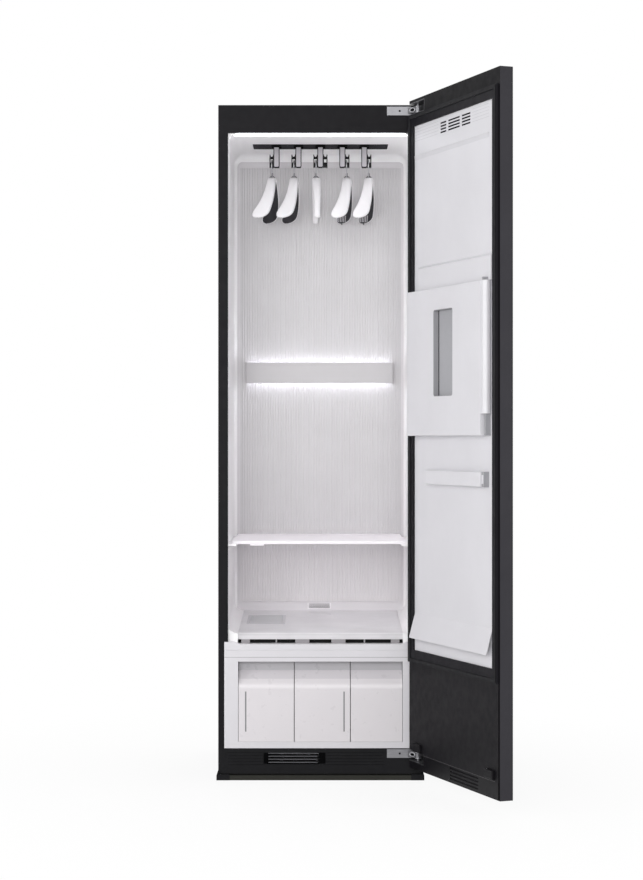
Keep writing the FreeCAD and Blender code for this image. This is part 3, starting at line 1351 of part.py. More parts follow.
def carriage():
    """Bar above the ceiling plate with five holders and their cradles."""
    count = whole("2 * hanger_side + 1")
    half_length = "hanger_side * hanger_pitch + carriage_end"
    ys = ("hanger_depth - carriage_depth / 2", "hanger_depth + carriage_depth / 2")
    zs = ("carriage_foot", "carriage_foot + carriage_height")
    node("hanger_carriage", box("carriage_bar", across(half_length), ys, zs))
    holders = []
    cradles = []
    for index in range(count):
        x = f"{index - count // 2} * hanger_pitch"
        xs = (f"{x} - holder_width / 2", f"{x} + holder_width / 2")
        deep = ("hanger_depth - holder_depth / 2", "hanger_depth + holder_depth / 2")
        bar = box(f"holder_bar_{index}", xs, deep, ("holder_foot", "carriage_foot"))
        feet = [{"x": side, "z": "holder_foot"} for side in xs]
        holders.append(rounded(f"holder_{index}", bar, "holder_round", *feet))
        cradles.append(cradle(f"seat_{index}", x, CRADLE_SIDES[index % len(CRADLE_SIDES)]))
    spare_at, spare_side = SPARE_CRADLE
    cradles.append(cradle("spare", f"{spare_at} * hanger_pitch", spare_side))
    node("hanger_holders", group("holders", *holders))
    node("hanger_cradles", group("cradles", *cradles))


def hook_shape():
    """Wire hook in the plane across the cradle: leaning shank, then an arc over the bar."""
    radius = number("hook_radius")
    rise = number("hook_rise")
    middle = Vector(0, 0, rise)
    foot = Vector(0, 0, -number("hook_root"))
    lean = math.acos(radius / (middle - foot).Length)
    start = -math.pi / 2 - lean
    end = -math.radians(number("hook_tip"))

    def at(angle):
        return middle + Vector(0, radius * math.cos(angle), radius * math.sin(angle))

    shank = Part.LineSegment(foot, at(start)).toShape()
    arc = Part.Arc(at(start), at((start + end) / 2 - math.pi), at(end)).toShape()
    path = Part.Wire([shank, arc])
    wire = number("hook_wire")
    turn = Rotation(Vector(0, 0, 1), at(start) - foot)
    corners = [math.radians(60 * index) for index in range(6)]
    ring = [foot + turn.multVec(Vector(math.cos(a), math.sin(a), 0) * wire) for a in corners]
    section = Part.makePolygon(ring + ring[:1])
    return path.makePipeShell([section], True, False)


def arm_section(place, width, thick, slope):
    """A closed outline across the hanger's arm: domed top, nearly flat underside."""
    points = []
    for index in range(4):
        angle = math.pi * (1 - index / 3)
        points.append(Vector(math.cos(angle) * width / 2, 0, (math.sin(angle) * 0.75 - 0.4) * thick))
    points.append(Vector(width * 0.3, 0, -thick * 0.6))
    points.append(Vector(-width * 0.3, 0, -thick * 0.6))
    tilt = Rotation(Vector(1, 0, 0), slope)
    placed = [place + tilt.multVec(point) for point in points]
    return Part.makePolygon(placed + placed[:1])


# Along one arm, from the neck: share of its length, of its width and of its thickness.
ARM_STATIONS = (
    (0.06, 1.0, 1.0),
    (0.5, 1.0, 0.9),
    (0.94, 0.94, 0.8),
    (1.0, 0.62, 0.5),
)


def hanger(index, x, yaw, end_width, bow):
    """Moulded hanger that hangs across the cabinet's depth, with its wire hook."""
    half = number("arm_half")
    drop = number("arm_drop")
    neck = number("arm_neck")
    wide = number(end_width)
    wires = []
    for side in (-1, 1):
        stations = reversed(ARM_STATIONS) if side < 0 else ARM_STATIONS
        for reach, width_share, thick_share in stations:
            sink = drop * reach**1.15
            slope = -side * math.degrees(math.atan(1.15 * drop * reach**0.15 / half))
            if reach < 0.1:
                slope = slope * 0.5
            width = (neck + (wide - neck) * min(1, reach / 0.8)) * width_share
            thick = number("arm_thick") * thick_share
            place = Vector(-bow * reach**3, side * half * reach, -sink)
            wires.append(arm_section(place, width, thick, slope))
    arms = Part.makeLoft(wires, True, True)
    arms.translate(Vector(0, 0, -arms.BoundBox.ZMax))
    piece = doc.addObject("Part::Feature", f"hanger_{index}_shape")
    piece.Shape = arms.fuse(hook_shape())
    pivot_z = number("cradle_z") - number("neck_z")
    lean = Placement(Vector(), Rotation(Vector(1, 0, 0), number("hanger_tilt")), Vector(0, 0, pivot_z))
    middle = Vector(number(x), number("hanger_depth"), number("neck_z"))
    piece.Placement = Placement(middle, Rotation(Vector(0, 0, 1), yaw)).multiply(lean)
    node(f"hanger_{index}", piece)


def hangers():
    """The middle hanger is the slim straight one; the others have wide, swept arms."""
    yaws = (-5, -2.75, 0, -2.75, -2.75)
    for index, side in enumerate(CRADLE_SIDES):
        hook = f"{side} * (holder_width / 2 + cradle_gap / 2)"
        x = f"{index - len(CRADLE_SIDES) // 2} * hanger_pitch + {hook}"
        slim = index == len(CRADLE_SIDES) // 2
        bow = 0.0 if slim else number("arm_bow")
        hanger(index + 1, x, yaws[index], "slim_end" if slim else "arm_end", bow)


# ---------------------------------------------------------------- hinges

HINGES = (("top", "top_cup"), ("low", "low_cup"))


def hinge_plates():
    """Plate on the surround, and an arm that reaches round to the pin's eye."""
    plates = []
    for label, cup in HINGES:
        middle = f"{cup} + cup_height / 2"
        plate_zs = (f"{middle} - hinge_plate_height / 2", f"{middle} + hinge_plate_height / 2")
        plate_xs = ("hinge_plate_left", "hinge_plate_right + 6")
        plate = box(f"{label}_plate", plate_xs, ("0 - hinge_plate_thick", "0"), plate_zs)
        arm_low = f"{middle} - arm_height / 2"
        eye = rod(f"{label}_eye", "eye_radius", ("pivot_x", "pivot_y", arm_low), "arm_height")
        run_x = "hinge_plate_right - pivot_x"
        run_y = "0 - hinge_plate_thick - pivot_y"
        length = f"sqrt(({run_x}) * ({run_x}) + ({run_y}) * ({run_y}))"
        arm = box(f"{label}_arm", ("0", length), ("0 - arm_width / 2", "arm_width / 2"), ("0", "arm_height"))
        placed = doc.addObject("Part::Compound", f"{label}_arm_at")
        placed.Links = [arm]
        placed.Placement = Placement(Vector(), Rotation(Vector(0, 0, 1), 1))
        lean = f"180 deg + atan(({run_y}) / ({run_x}))"
        bind(placed, **{"Placement.Rotation.Angle": lean})
        bind(placed, Base_x="pivot_x", Base_y="pivot_y", Base_z=arm_low)
        solid = fused(f"{label}_hinge_solid", plate, eye, placed)
        high = f"{arm_low} + arm_height + 20"
        behind = box(f"{label}_behind", ("0", "half + 20"), ("0", "20"), (f"{arm_low} - 20", high))
        bore_at = ("pivot_x", "pivot_y", f"{arm_low} - 1")
        bore = rod(f"{label}_eye_bore", "pin_radius + run_gap", bore_at, "arm_height + 2")
        screw_at = ("hinge_screw_x", "0 - hinge_plate_thick - 1", middle)
        screw = rod(f"{label}_screw_hole", "hinge_screw", screw_at, "hinge_plate_thick + 2", "y")
        plates.append(cut(f"{label}_hinge", solid, behind, bore, screw))
    node("hinge_plates", group("hinges", *plates))


def cup_notch(name, cup, low, high):
    """The room that a hinge cup takes in the slab, from its hinge edge."""
    xs = on_door("0 - 5", "cup_length + seat_gap")
    zs = (f"{cup} - seat_gap", f"{cup} + cup_height + seat_gap")
    return box(name, xs, above_slab(low, high), zs)


def hinge_cups():
    """Steel channels let into the slab, open at its edge and inner face, and their pins."""
    cups = []
    pins = []
    for label, cup in HINGES:
        xs = on_door("0", "cup_length")
        ys = above_slab("0 - tray_depth", "0")
        outer = box(f"{label}_cup_outer", xs, ys, (cup, f"{cup} + cup_height"))
        inner_xs = on_door("0 - 1", "cup_length - cup_sheet")
        inner_ys = above_slab("cup_sheet - tray_depth", "1")
        inner_zs = (f"{cup} + cup_sheet", f"{cup} + cup_height - cup_sheet")
        inner = box(f"{label}_cup_inner", inner_xs, inner_ys, inner_zs)
        cups.append(cut(f"{label}_cup_channel", outer, inner))
        pin_at = ("pivot_x", "pivot_y", f"{cup} + cup_sheet")
        pins.append(rod(f"{label}_pin", "pin_radius", pin_at, "cup_height - 2 * cup_sheet"))
    door_node("hinge_cups", group("cups", *cups))
    door_node("hinge_pins", group("pins", *pins))


# ---------------------------------------------------------------- door


def door_slab():
    """Outer panel and the hollow tray behind it."""
    xs = across("door_edge")
    zs = ("door_bottom", "door_top")
    panel = box("glass", xs, ("glass_front", "tray_front"), zs)
    edges = [{"x": x, "y": "glass_front"} for x in xs] + [{"y": "glass_front", "z": z} for z in zs]
    door_node("door_outer_panel", rounded("glass_edges", panel, "door_round", *edges))
    tray = box("tray_outer", xs, ("tray_front", "0 - door_gap"), zs)
    inner_zs = ("door_bottom + tray_wall", "door_top - tray_wall")
    inner_ys = ("tray_front - 1", "0 - door_gap - tray_wall")
    inner = box("tray_inner", across("door_edge - tray_wall"), inner_ys, inner_zs)
    notches = [cup_notch(f"{label}_notch", cup, "0 - 40", "1") for label, cup in HINGES]
    door_node("door_tray", cut("tray", tray, inner, *notches))


def raised_frame():
    """Black ring that holds the white panel and the gasket."""
    body = new_body("ring")
    outer = rectangle(on_door("frame_start", "frame_end"), ("frame_bottom", "frame_top"))
    inner = rectangle(on_door("panel_start", "panel_end"), ("white_bottom", "white_top"))
    pad(body, "ring_section", "XZ", "frame_height", outer, inner)
    door_node("door_raised_frame", body, y="0 - door_gap")
    seal = new_body("seal")
    loops = []
    for further in ("0", "gasket_width"):
        inset = f"gasket_inset + {further}"
        xs = on_door(f"frame_start + gasket_hinge_side + {further}", f"frame_end - ({inset})")
        loops.append(rectangle(xs, (f"frame_bottom + {inset}", f"frame_top - ({inset})")))
    pad(seal, "seal_ring", "XZ", "gasket_height", *loops)
    door_node("door_gasket", seal, y="frame_height - door_gap")


def door_liner():
    """White inner panel with its vent of slots at the top."""
    body = new_body("white")
    face = rectangle(on_door("panel_start", "panel_end"), ("white_bottom", "white_top"))
    pad(body, "white_sheet", "XZ", "white_thick", face)
    zs = ("door_vent_bottom", "door_vent_bottom + door_vent_slot")
    span = "(door_vent_end - door_vent_start)"
    first_end = f"door_vent_start + {span} * 0.2"
    middle_end = f"door_vent_end - {span} * 0.28 - door_vent_bridge"
    columns = (
        ("door_vent_start", first_end),
        (f"{first_end} + door_vent_bridge", middle_end),
        (f"{middle_end} + door_vent_bridge", "door_vent_end"),
    )
    loops = [rectangle(on_door(*column), zs) for column in columns]
    slot = pocket(body, "vent_slot", "XZ", "white_thick", *loops)
    rows(body, "vent_slots", slot, "V_Axis", "door_vent_pitch", "door_vent_rows")
    door_node("door_liner", body, y="0 - door_gap")


def drip_lip():
    """Flap that leaves the white panel and guides drips back into the chamber."""
    start, end = on_door("lip_start", "lip_end")
    body = new_body("lip", Base_x=start)
    root = "white_thick - door_gap"
    outline = [
        (root, "lip_top"),
        ("lip_reach - door_gap", "lip_bottom"),
        ("lip_reach - door_gap - lip_sheet", "lip_bottom"),
        (root, "lip_top - 3 * lip_sheet"),
    ]
    pad(body, "lip_section", "YZ", "lip_end - lip_start", outline)
    corners = [{"x": start, "z": "lip_bottom"}, {"x": end, "z": "lip_bottom"}]
    door_node("drip_lip", rounded("lip_soft", body, "lip_corner", *corners))


def lower_door():
    """Recessed lower panel with two bumpers, and the grille strip below it."""
    margin_xs = on_door("low_panel_margin", "door_width - low_panel_margin")
    ys = above_slab("0", "low_panel_thick")
    zs = ("low_panel_bottom", "frame_bottom")
    panel = box("low_sheet", margin_xs, ys, zs)
    bumpers = []
    bumper_zs = ("low_cup + cup_height", "low_cup + cup_height + bumper_height")
    for index, start in enumerate(("bumper_start", "bumper_far")):
        xs = on_door(start, f"{start} + bumper_width")
        reach = above_slab("low_panel_thick", "bumper_reach")
        block = box(f"bumper_{index}", xs, reach, bumper_zs)
        top = {"y": reach[1]}
        bumpers.append(rounded(f"bumper_soft_{index}", block, "bumper_round", top))
    notch = cup_notch("panel_notch", "low_cup", "0 - 1", "bumper_reach")
    cut_panel = cut("low_panel", panel, notch)
    door_node("door_lower_panel", fused("low_panel_with_bumpers", cut_panel, *bumpers))
    body = new_body("strip_plate", Base_y="0 - door_gap")
    strip_zs = ("door_bottom + low_panel_thick", "low_panel_bottom")
    pad(body, "strip_sheet", "XZ", "low_panel_thick", rectangle(margin_xs, strip_zs))
    slot_zs = ("door_grille_bottom", "door_grille_bottom + door_grille_slot")
    slot_loop = rectangle(on_door("door_grille_start", "door_grille_end"), slot_zs)
    slot = pocket(body, "strip_slot", "XZ", "low_panel_thick", slot_loop)
    rows(body, "strip_slots", slot, "V_Axis", "door_grille_pitch", "door_grille_rows")
    strip_notch = cup_notch("strip_notch", "low_cup", "0 - 1", "bumper_reach")
    door_node("door_bottom_grille", cut("strip_cut", body, strip_notch))


# ---------------------------------------------------------------- trouser press on the door


def press_base():
    """Board behind the press cover with the thicker head above it."""
    xs = on_door("press_start", "press_end")
    board_ys = above_slab("white_thick", "white_thick + press_board")
    board = box("press_board_block", xs, board_ys, ("press_bottom", "press_split + seat_gap"))
    head_ys = above_slab("white_thick", "white_thick + press_head")
    head_zs = ("press_split + seat_gap", "press_top")
    head = box("press_head_block", on_door("press_start", "panel_end - 1"), head_ys, head_zs)
    top = [{"y": head_ys[1], "z": "press_top"}, {"y": head_ys[1], "x": xs[1]}]
    soft = rounded("press_head_soft", head, "press_head * 0.9", *top, kind="Part::Chamfer")
    door_node("press_base", fused("press_plate", board, soft))


def pivot_brackets():
    """Grey brackets that carry the press cover's pins and the hem clamp's pin."""
    low_xs = on_door("barrel_u - press_pin - 1.5", "barrel_u + press_pin + 1.5")
    low_ys = above_slab("white_thick", "barrel_h + press_pin + 1")
    low_zs = ("press_bottom", "barrel_foot - seat_gap")
    low_block = box("press_low_block", low_xs, low_ys, low_zs)
    pin_x, pin_y = "door_edge - barrel_u", "barrel_h - door_gap"
    low_pin_at = (pin_x, pin_y, "barrel_foot - 5")
    low_pin = rod("press_low_pin", "press_pin", low_pin_at, "press_pin_reach + 5")
    high_xs = on_door("barrel_u - press_pin - 1.5", "barrel_u + press_pin + 1.5")
    high_ys = above_slab("white_thick + press_head", "cover_face - 1")
    high_zs = ("press_split + seat_gap", "press_split + seat_gap + 8")
    high_block = box("press_high_block", high_xs, high_ys, high_zs)
    high_pin_at = (pin_x, pin_y, "press_split - press_pin_reach")
    high_pin = rod("press_high_pin", "press_pin", high_pin_at, "press_pin_reach + 5")
    ear_xs = on_door("clamp_pivot", "clamp_bracket_end")
    ear_ys = above_slab("white_thick", "clamp_face - 0.6")
    block = box("clamp_block", ear_xs, ear_ys, ("clamp_bottom", "clamp_top"))
    ear_at = ("door_edge - clamp_pivot", "clamp_y", "clamp_bottom")
    ear = rod("clamp_ear_round", "clamp_ear_radius", ear_at, "clamp_top - clamp_bottom")
    gap_xs = on_door("clamp_pivot - 9", "clamp_pivot + 9")
    gap_zs = ("clamp_bottom + clamp_ear", "clamp_top - clamp_ear")
    gap = box("clamp_block_gap", gap_xs, above_slab("0", "clamp_face + 1"), gap_zs)
    pin_at = ("door_edge - clamp_pivot", "clamp_y", "clamp_bottom + 2")
    clamp_pin = rod("clamp_block_pin", "clamp_pin", pin_at, "clamp_top - clamp_bottom - 4")
    low = fused("press_low_bracket", low_block, low_pin)
    high = fused("press_high_bracket", high_block, high_pin)
    ears = cut("clamp_ears", fused("clamp_ear_solid", block, ear), gap)
    clamp = fused("clamp_bracket", ears, clamp_pin)
    door_node("pivot_brackets", group("brackets", low, high, clamp))


def press_cover():
    """Shell with a barrel down its pivot side and an opening for the pull pocket."""
    xs = on_door("cover_start", "barrel_u")
    ys = above_slab("cover_back", "cover_face")
    zs = ("press_bottom", "press_split")
    plate = box("cover_block", xs, ys, zs)
    rim = [{"x": xs[1], "y": ys[1]}] + [{"y": ys[1], "z": z} for z in zs]
    soft = rounded("cover_soft", plate, "cover_round", *rim)
    inner = box(
        "cover_inner",
        on_door("cover_start + cover_wall", "barrel_u - barrel_radius - cover_wall"),
        above_slab("cover_back - 1", "cover_face - cover_wall"),
        ("press_bottom + cover_wall", "press_split - cover_wall"),
    )
    clear = "barrel_radius + 1"
    low_gap = box(
        "cover_low_gap",
        on_door(f"barrel_u - ({clear})", f"barrel_u + {clear}"),
        above_slab("0", "cover_face + 1"),
        ("press_bottom - 1", "barrel_foot"),
    )
    edge_gap = box(
        "cover_edge_gap",
        on_door("barrel_u - barrel_radius", f"barrel_u + {clear}"),
        above_slab("0", "cover_face + 1"),
        ("press_bottom - 1", "press_split + 1"),
    )
    hole_xs = on_door("pocket_start", "pocket_end")
    hole_ys = above_slab("cover_face - cover_wall - 1", "cover_face + 1")
    hole_zs = ("pocket_bottom", "pocket_top")
    window = box("cover_window", hole_xs, hole_ys, hole_zs)
    corners = [{"x": x, "z": z} for x in hole_xs for z in hole_zs]
    soft_window = rounded("cover_window_soft", window, "pocket_corner", *corners)
    pin_x, pin_y = "door_edge - barrel_u", "barrel_h - door_gap"
    length = "press_split - barrel_foot"
    barrel = rod("cover_barrel", "barrel_radius", (pin_x, pin_y, "barrel_foot"), length)
    low_at = (pin_x, pin_y, "barrel_foot - 1")
    high_at = (pin_x, pin_y, "press_split - press_pin_reach - 1")
    bore_radius, bore_length = "press_pin + run_gap", "press_pin_reach + 2"
    low_bore = rod("cover_low_bore", bore_radius, low_at, bore_length)
    high_bore = rod("cover_high_bore", bore_radius, high_at, bore_length)
    shell = cut("cover_shell", soft, inner, low_gap, edge_gap, soft_window)
    web = box(
        "cover_web",
        on_door("barrel_u - barrel_radius - cover_wall", "barrel_u - barrel_radius / 2"),
        above_slab("cover_back + 4", "cover_face - 1"),
        ("barrel_foot", "press_split"),
    )
    solid = fused("cover_with_barrel", shell, barrel, web)
    door_node("press_cover", cut("cover_done", solid, low_bore, high_bore))


def press_pocket():
    """Grey pull pocket set into the press cover, and the pad on the cover's back."""
    wall = "pocket_wall"
    outer = box(
        "pocket_outer",
        on_door("pocket_start", "pocket_end"),
        above_slab("cover_face - pocket_depth - pocket_wall", "cover_face - 0.5"),
        ("pocket_bottom", "pocket_top"),
    )
    outer_xs = on_door("pocket_start", "pocket_end")
    outer_corners = [{"x": x, "z": z} for x in outer_xs for z in ("pocket_bottom", "pocket_top")]
    soft_outer = rounded("pocket_outer_soft", outer, "pocket_corner", *outer_corners)
    inner_xs = on_door(f"pocket_start + {wall}", f"pocket_end - {wall}")
    inner_zs = (f"pocket_bottom + {wall}", f"pocket_top - {wall}")
    inner_ys = above_slab("cover_face - pocket_depth", "cover_face + 1")
    inner = box("pocket_inner", inner_xs, inner_ys, inner_zs)
    inner_corners = [{"x": x, "z": z} for x in inner_xs for z in inner_zs]
    soft_inner = rounded("pocket_inner_soft", inner, f"pocket_corner - {wall}", *inner_corners)
    door_node("press_pocket", cut("pocket", soft_outer, soft_inner))
    pad_xs = on_door("cover_start + cover_wall", "barrel_u - barrel_radius - cover_wall")
    pad_ys = above_slab("cover_back - pad_proud", "cover_back - pad_proud + pad_thick")
    pad_zs = ("press_bottom + cover_wall", "press_split - cover_wall")
    door_node("press_pad", group("cloth_pad", box("cloth", pad_xs, pad_ys, pad_zs)))


def hem_clamp():
    """Bar that swings on the bracket beside it."""
    xs = on_door("clamp_start", "clamp_end")
    ys = above_slab("white_thick + seat_gap", "clamp_face")
    zs = ("clamp_bottom", "clamp_top")
    block = box("clamp_bar_block", xs, ys, zs)
    face = {"y": ys[1]}
    soft = rounded("clamp_bar_soft", block, "clamp_round", {"z": zs[0], **face}, {"z": zs[1], **face})
    tongue_zs = ("clamp_bottom + clamp_ear + seat_gap", "clamp_top - clamp_ear - seat_gap")
    tongue_low, tongue_high = tongue_zs
    eye_at = ("door_edge - clamp_pivot", "clamp_y", tongue_low)
    eye = rod("clamp_eye", "5", eye_at, f"{tongue_high} - ({tongue_low})")
    tongue_ys = ("clamp_y - 3", "clamp_y + 3")
    tongue = box("clamp_tongue", on_door("clamp_end - 1", "clamp_pivot"), tongue_ys, tongue_zs)
    bore_at = ("door_edge - clamp_pivot", "clamp_y", "clamp_bottom")
    bore = rod("clamp_eye_bore", "clamp_pin + run_gap", bore_at, "clamp_top - clamp_bottom")
    door_node("hem_clamp_bar", cut("clamp_done", fused("clamp_solid", soft, tongue, eye), bore))


PLACES["clamp_y"] = "(white_thick + clamp_face) / 2 - door_gap"


def build():
    outer_casing()
    back_panel()
    cord_gland()
    front_surround()
    base_grille()
    foot_strip()
    base_pan()
    levelling_feet()
    inner_liner()
    back_wall_panel()
    light_bar()
    floor_panel()
    lint_filter()
    intake_slot()
    air_outlet_grille()
    shelf()
    tank_band()
    tank_bay()
    tanks()
    compressor()
    steam_generator()
    heat_exchangers()
    fan()
    air_duct()
    roof_machinery()
    ceiling_plate()
    carriage()
    hangers()
    hinge_plates()
    hinge_cups()
    door_slab()
    raised_frame()
    door_liner()
    drip_lip()
    lower_door()
    press_base()
    pivot_brackets()
    press_cover()
    press_pocket()
    hem_clamp()
    doc.recompute()


def export():
    for item in doc.Objects:
        if "Invalid" in item.State or "Error" in item.State:
            raise ValueError(f"{item.Label} was not built: {item.State}")
    for piece in NODES:
        shape = piece.Shape
        if shape.isNull() or not shape.isValid() or not shape.Solids:
            raise ValueError(f"{piece.Label} has no valid solid")
    os.makedirs("parts", exist_ok=True)
    for piece in NODES:
        piece.Shape.exportStep(f"parts/{piece.Label}.step")
    print(len(NODES), "sub-parts written")


build()
export()
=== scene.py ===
"""Looks of the clothes care steam cabinet: materials, light, camera and fine pieces."""

import json
import math
from collections import namedtuple

import bpy
from mathutils import Matrix, Vector

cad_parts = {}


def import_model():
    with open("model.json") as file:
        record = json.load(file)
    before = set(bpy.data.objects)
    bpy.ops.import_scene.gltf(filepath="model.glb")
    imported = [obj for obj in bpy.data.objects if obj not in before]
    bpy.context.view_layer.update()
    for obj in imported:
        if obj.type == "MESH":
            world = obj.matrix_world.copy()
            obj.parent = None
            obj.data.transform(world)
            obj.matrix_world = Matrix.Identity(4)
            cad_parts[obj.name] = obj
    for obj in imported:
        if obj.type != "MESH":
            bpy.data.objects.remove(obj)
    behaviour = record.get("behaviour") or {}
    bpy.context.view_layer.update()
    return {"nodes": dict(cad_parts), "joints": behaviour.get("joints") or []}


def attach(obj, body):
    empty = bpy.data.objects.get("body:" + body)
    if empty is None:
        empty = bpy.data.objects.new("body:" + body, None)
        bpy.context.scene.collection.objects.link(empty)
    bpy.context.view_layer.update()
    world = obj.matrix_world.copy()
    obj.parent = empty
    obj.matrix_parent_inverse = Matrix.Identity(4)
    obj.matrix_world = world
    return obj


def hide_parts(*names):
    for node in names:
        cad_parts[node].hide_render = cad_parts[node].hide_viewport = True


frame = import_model()
NODES = frame["nodes"]

# ---------------------------------------------------------------- places and ways


def joint_place(name):
    """Where a joint's axis is, in metres."""
    return next(joint["pos_m"] for joint in frame["joints"] if joint["name"] == name)


def node_box(name):
    """Lowest and highest corner of a CAD node."""
    places = [corner.co for corner in NODES[name].data.vertices]
    return tuple(tuple(pick(place[axis] for place in places) for axis in range(3)) for pick in (min, max))


MM = 0.001
HOLDER_PITCH = 66.5 * MM  # one moving hanger to the next
TO_ROOM = (0.0, -1.0, 0.0)
CORNERS = ((-1, -1), (1, -1), (1, 1), (-1, 1))  # of a square, in order
DOOR_OPEN = math.radians(110.8)
DOOR_INNER_WAY = (-math.sin(DOOR_OPEN), math.cos(DOOR_OPEN), 0.0)
DOOR_PIVOT = joint_place("door_hinge")
DOOR_PIVOT_INSET = 17 * MM  # from the door's hinge edge
DOOR_PIVOT_DEPTH = 20 * MM  # below the slab's inner face


def inner_face(node):
    """How far a door piece reaches toward the chamber, along that way."""
    way = Vector(DOOR_INNER_WAY)
    return max(way.dot(corner.co) for corner in NODES[node].data.vertices)


# ---------------------------------------------------------------- materials

TONE_SCALE = 7.0  # noise scales: slow changes of tone, uneven tones, gloss, fine grain, brushing
UNEVEN_SCALE = 9.0
GLOSS_SCALE = 45.0
GRAIN_SCALE = 900.0
BRUSH_SCALE = 60.0
BRUSH_DETAIL = 4.0
GRAIN_DETAIL = 2.0
GRAIN_DEPTH = 0.0003
WAVE_SPACING = math.tau / 20  # between a Wave texture's bands, at a scale of 1
NOISE_LOW, NOISE_HIGH = 0.3, 0.7  # the range that a noise mostly keeps to
GLOSS_CHANGE = 0.12
DIODE_SCALE = 30.0  # diodes lie about 10.5 mm apart
MIX_FACTOR, MIX_FIRST, MIX_SECOND, MIX_RESULT = 0, 6, 7, 2  # a Mix node's colour sockets


def srgb(*levels):
    """A colour given as 0 to 255 screen levels, as Blender's linear values."""
    linear = []
    for level in levels:
        share = level / 255
        linear.append(share / 12.92 if share <= 0.04045 else ((share + 0.055) / 1.055) ** 2.4)
    return tuple(linear)


def shade(colour, factor):
    return tuple(min(1.0, level * factor) for level in colour)


class Nodes:
    """A short way to add and link the nodes of one material."""

    def __init__(self, name):
        self.material = bpy.data.materials.new(name)
        self.material.use_nodes = True
        self.tree = self.material.node_tree
        self.tree.nodes.clear()
        self.output = self.tree.nodes.new("ShaderNodeOutputMaterial")
        self.place = self.add("ShaderNodeTexCoord").outputs["Object"]

    def add(self, kind, **sockets):
        node = self.tree.nodes.new(kind)
        for name, value in sockets.items():
            self.plug(value, node.inputs[name.replace("_", " ")])
        return node

    def plug(self, value, socket):
        if isinstance(value, bpy.types.NodeSocket):
            self.tree.links.new(value, socket)
        elif hasattr(value, "__len__") and len(value) == 3 and len(socket.default_value) == 4:
            socket.default_value = (*value, 1.0)
        else:
            socket.default_value = value

    def sum(self, how, *values):
        """The result of one Math node."""
        node = self.tree.nodes.new("ShaderNodeMath")
        node.operation = how
        for value, socket in zip(values, node.inputs):
            self.plug(value, socket)
        return node.outputs["Value"]

    def mapped(self, value, start, end, low=0.0, high=1.0):
        """A value, taken from the range start to end to the range low to high."""
        node = self.add("ShaderNodeMapRange", Value=value)
        limits = {"From Min": start, "From Max": end, "To Min": low, "To Max": high}
        for name, limit in limits.items():
            node.inputs[name].default_value = limit
        return node.outputs["Result"]

    def step(self, value, edge, soft):
        """0 below an edge, 1 above it."""
        return self.mapped(value, edge - soft, edge + soft)

    def along(self, axis):
        """How far a point of the piece lies along X, Y or Z."""
        return self.add("ShaderNodeSeparateXYZ", Vector=self.place).outputs[axis]

    def above(self, axis, height, soft=0.5 * MM):
        """0 below a height along an axis, 1 above it."""
        return self.step(self.along(axis), height, soft)

    def between(self, axis, low, high, soft=0.1 * MM):
        """1 from low to high along an axis, else 0."""
        value = self.along(axis)
        return self.sum("SUBTRACT", self.step(value, low, soft), self.step(value, high, soft))

    def dot(self, value, direction):
        """How far a vector points along a direction."""
        node = self.tree.nodes.new("ShaderNodeVectorMath")
        node.operation = "DOT_PRODUCT"
        self.plug(value, node.inputs[0])
        node.inputs[1].default_value = direction
        return node.outputs["Value"]

    def toward(self, direction, least=0.7):
        """1 where the surface looks along a direction of the piece, else 0."""
        facing = self.add("ShaderNodeTexCoord").outputs["Normal"]
        return self.sum("GREATER_THAN", self.dot(facing, direction), least)

    def stretched(self, scale):
        """Object coordinates, stretched by a scale along each axis."""
        return self.add("ShaderNodeMapping", Vector=self.place, Scale=scale).outputs["Vector"]

    def noise(self, scale, detail=3.0, place=None):
        node = self.add("ShaderNodeTexNoise", Vector=place or self.place, Scale=scale, Detail=detail)
        return node.outputs["Fac"]

    def wave(self, scale, bands="X"):
        node = self.add("ShaderNodeTexWave", Vector=self.place, Scale=scale)
        node.bands_direction = bands
        return node.outputs["Fac"]

    def spread(self, value, low, high):
        """Noise, taken from its usual range to the range low to high."""
        return self.mapped(value, NOISE_LOW, NOISE_HIGH, low, high)

    def ramp(self, value, *stops):
        """Colours along a value: (position, colour) pairs."""
        node = self.add("ShaderNodeValToRGB", Fac=value)
        elements = node.color_ramp.elements
        while len(elements) < len(stops):
            elements.new(0.5)
        for element, (position, colour) in zip(elements, stops):
            element.position = position
            element.color = (*colour, 1.0)
        return node.outputs["Color"]

    def toned(self, value, colour, change):
        """A colour that a noise makes darker and lighter by a share."""
        dark, light = shade(colour, 1 - change), shade(colour, 1 + change)
        return self.ramp(value, (NOISE_LOW, dark), (NOISE_HIGH, light))

    def mottled(self, colour, change=0.02):
        return self.toned(self.noise(TONE_SCALE), colour, change)

    def scaled(self, tone, change):
        """A tone, scaled unevenly."""
        node = self.add("ShaderNodeVectorMath", Vector=tone)
        node.operation = "SCALE"
        self.plug(self.spread(self.noise(UNEVEN_SCALE), 1 - change, 1 + change), node.inputs["Scale"])
        return node.outputs["Vector"]

    def layered(self, tone, mask, colour):
        """A tone with a colour laid over it where the mask is 1."""
        node = self.add("ShaderNodeMix")
        node.data_type = "RGBA"
        self.plug(mask, node.inputs[MIX_FACTOR])
        self.plug(tone, node.inputs[MIX_FIRST])
        node.inputs[MIX_SECOND].default_value = (*colour, 1.0)
        return node.outputs[MIX_RESULT]

    def gloss(self, low, high, scale=GLOSS_SCALE):
        """An uneven roughness."""
        return self.spread(self.noise(scale), low, high)

    def gloss_about(self, rough):
        return self.gloss(rough * (1 - GLOSS_CHANGE), min(1.0, rough * (1 + GLOSS_CHANGE)))

    def bump(self, height, strength, distance):
        node = self.add("ShaderNodeBump", Height=height, Strength=strength, Distance=distance)
        return node.outputs["Normal"]

    def grain(self, strength, scale=GRAIN_SCALE):
        return self.bump(self.noise(scale, GRAIN_DETAIL), strength, GRAIN_DEPTH)

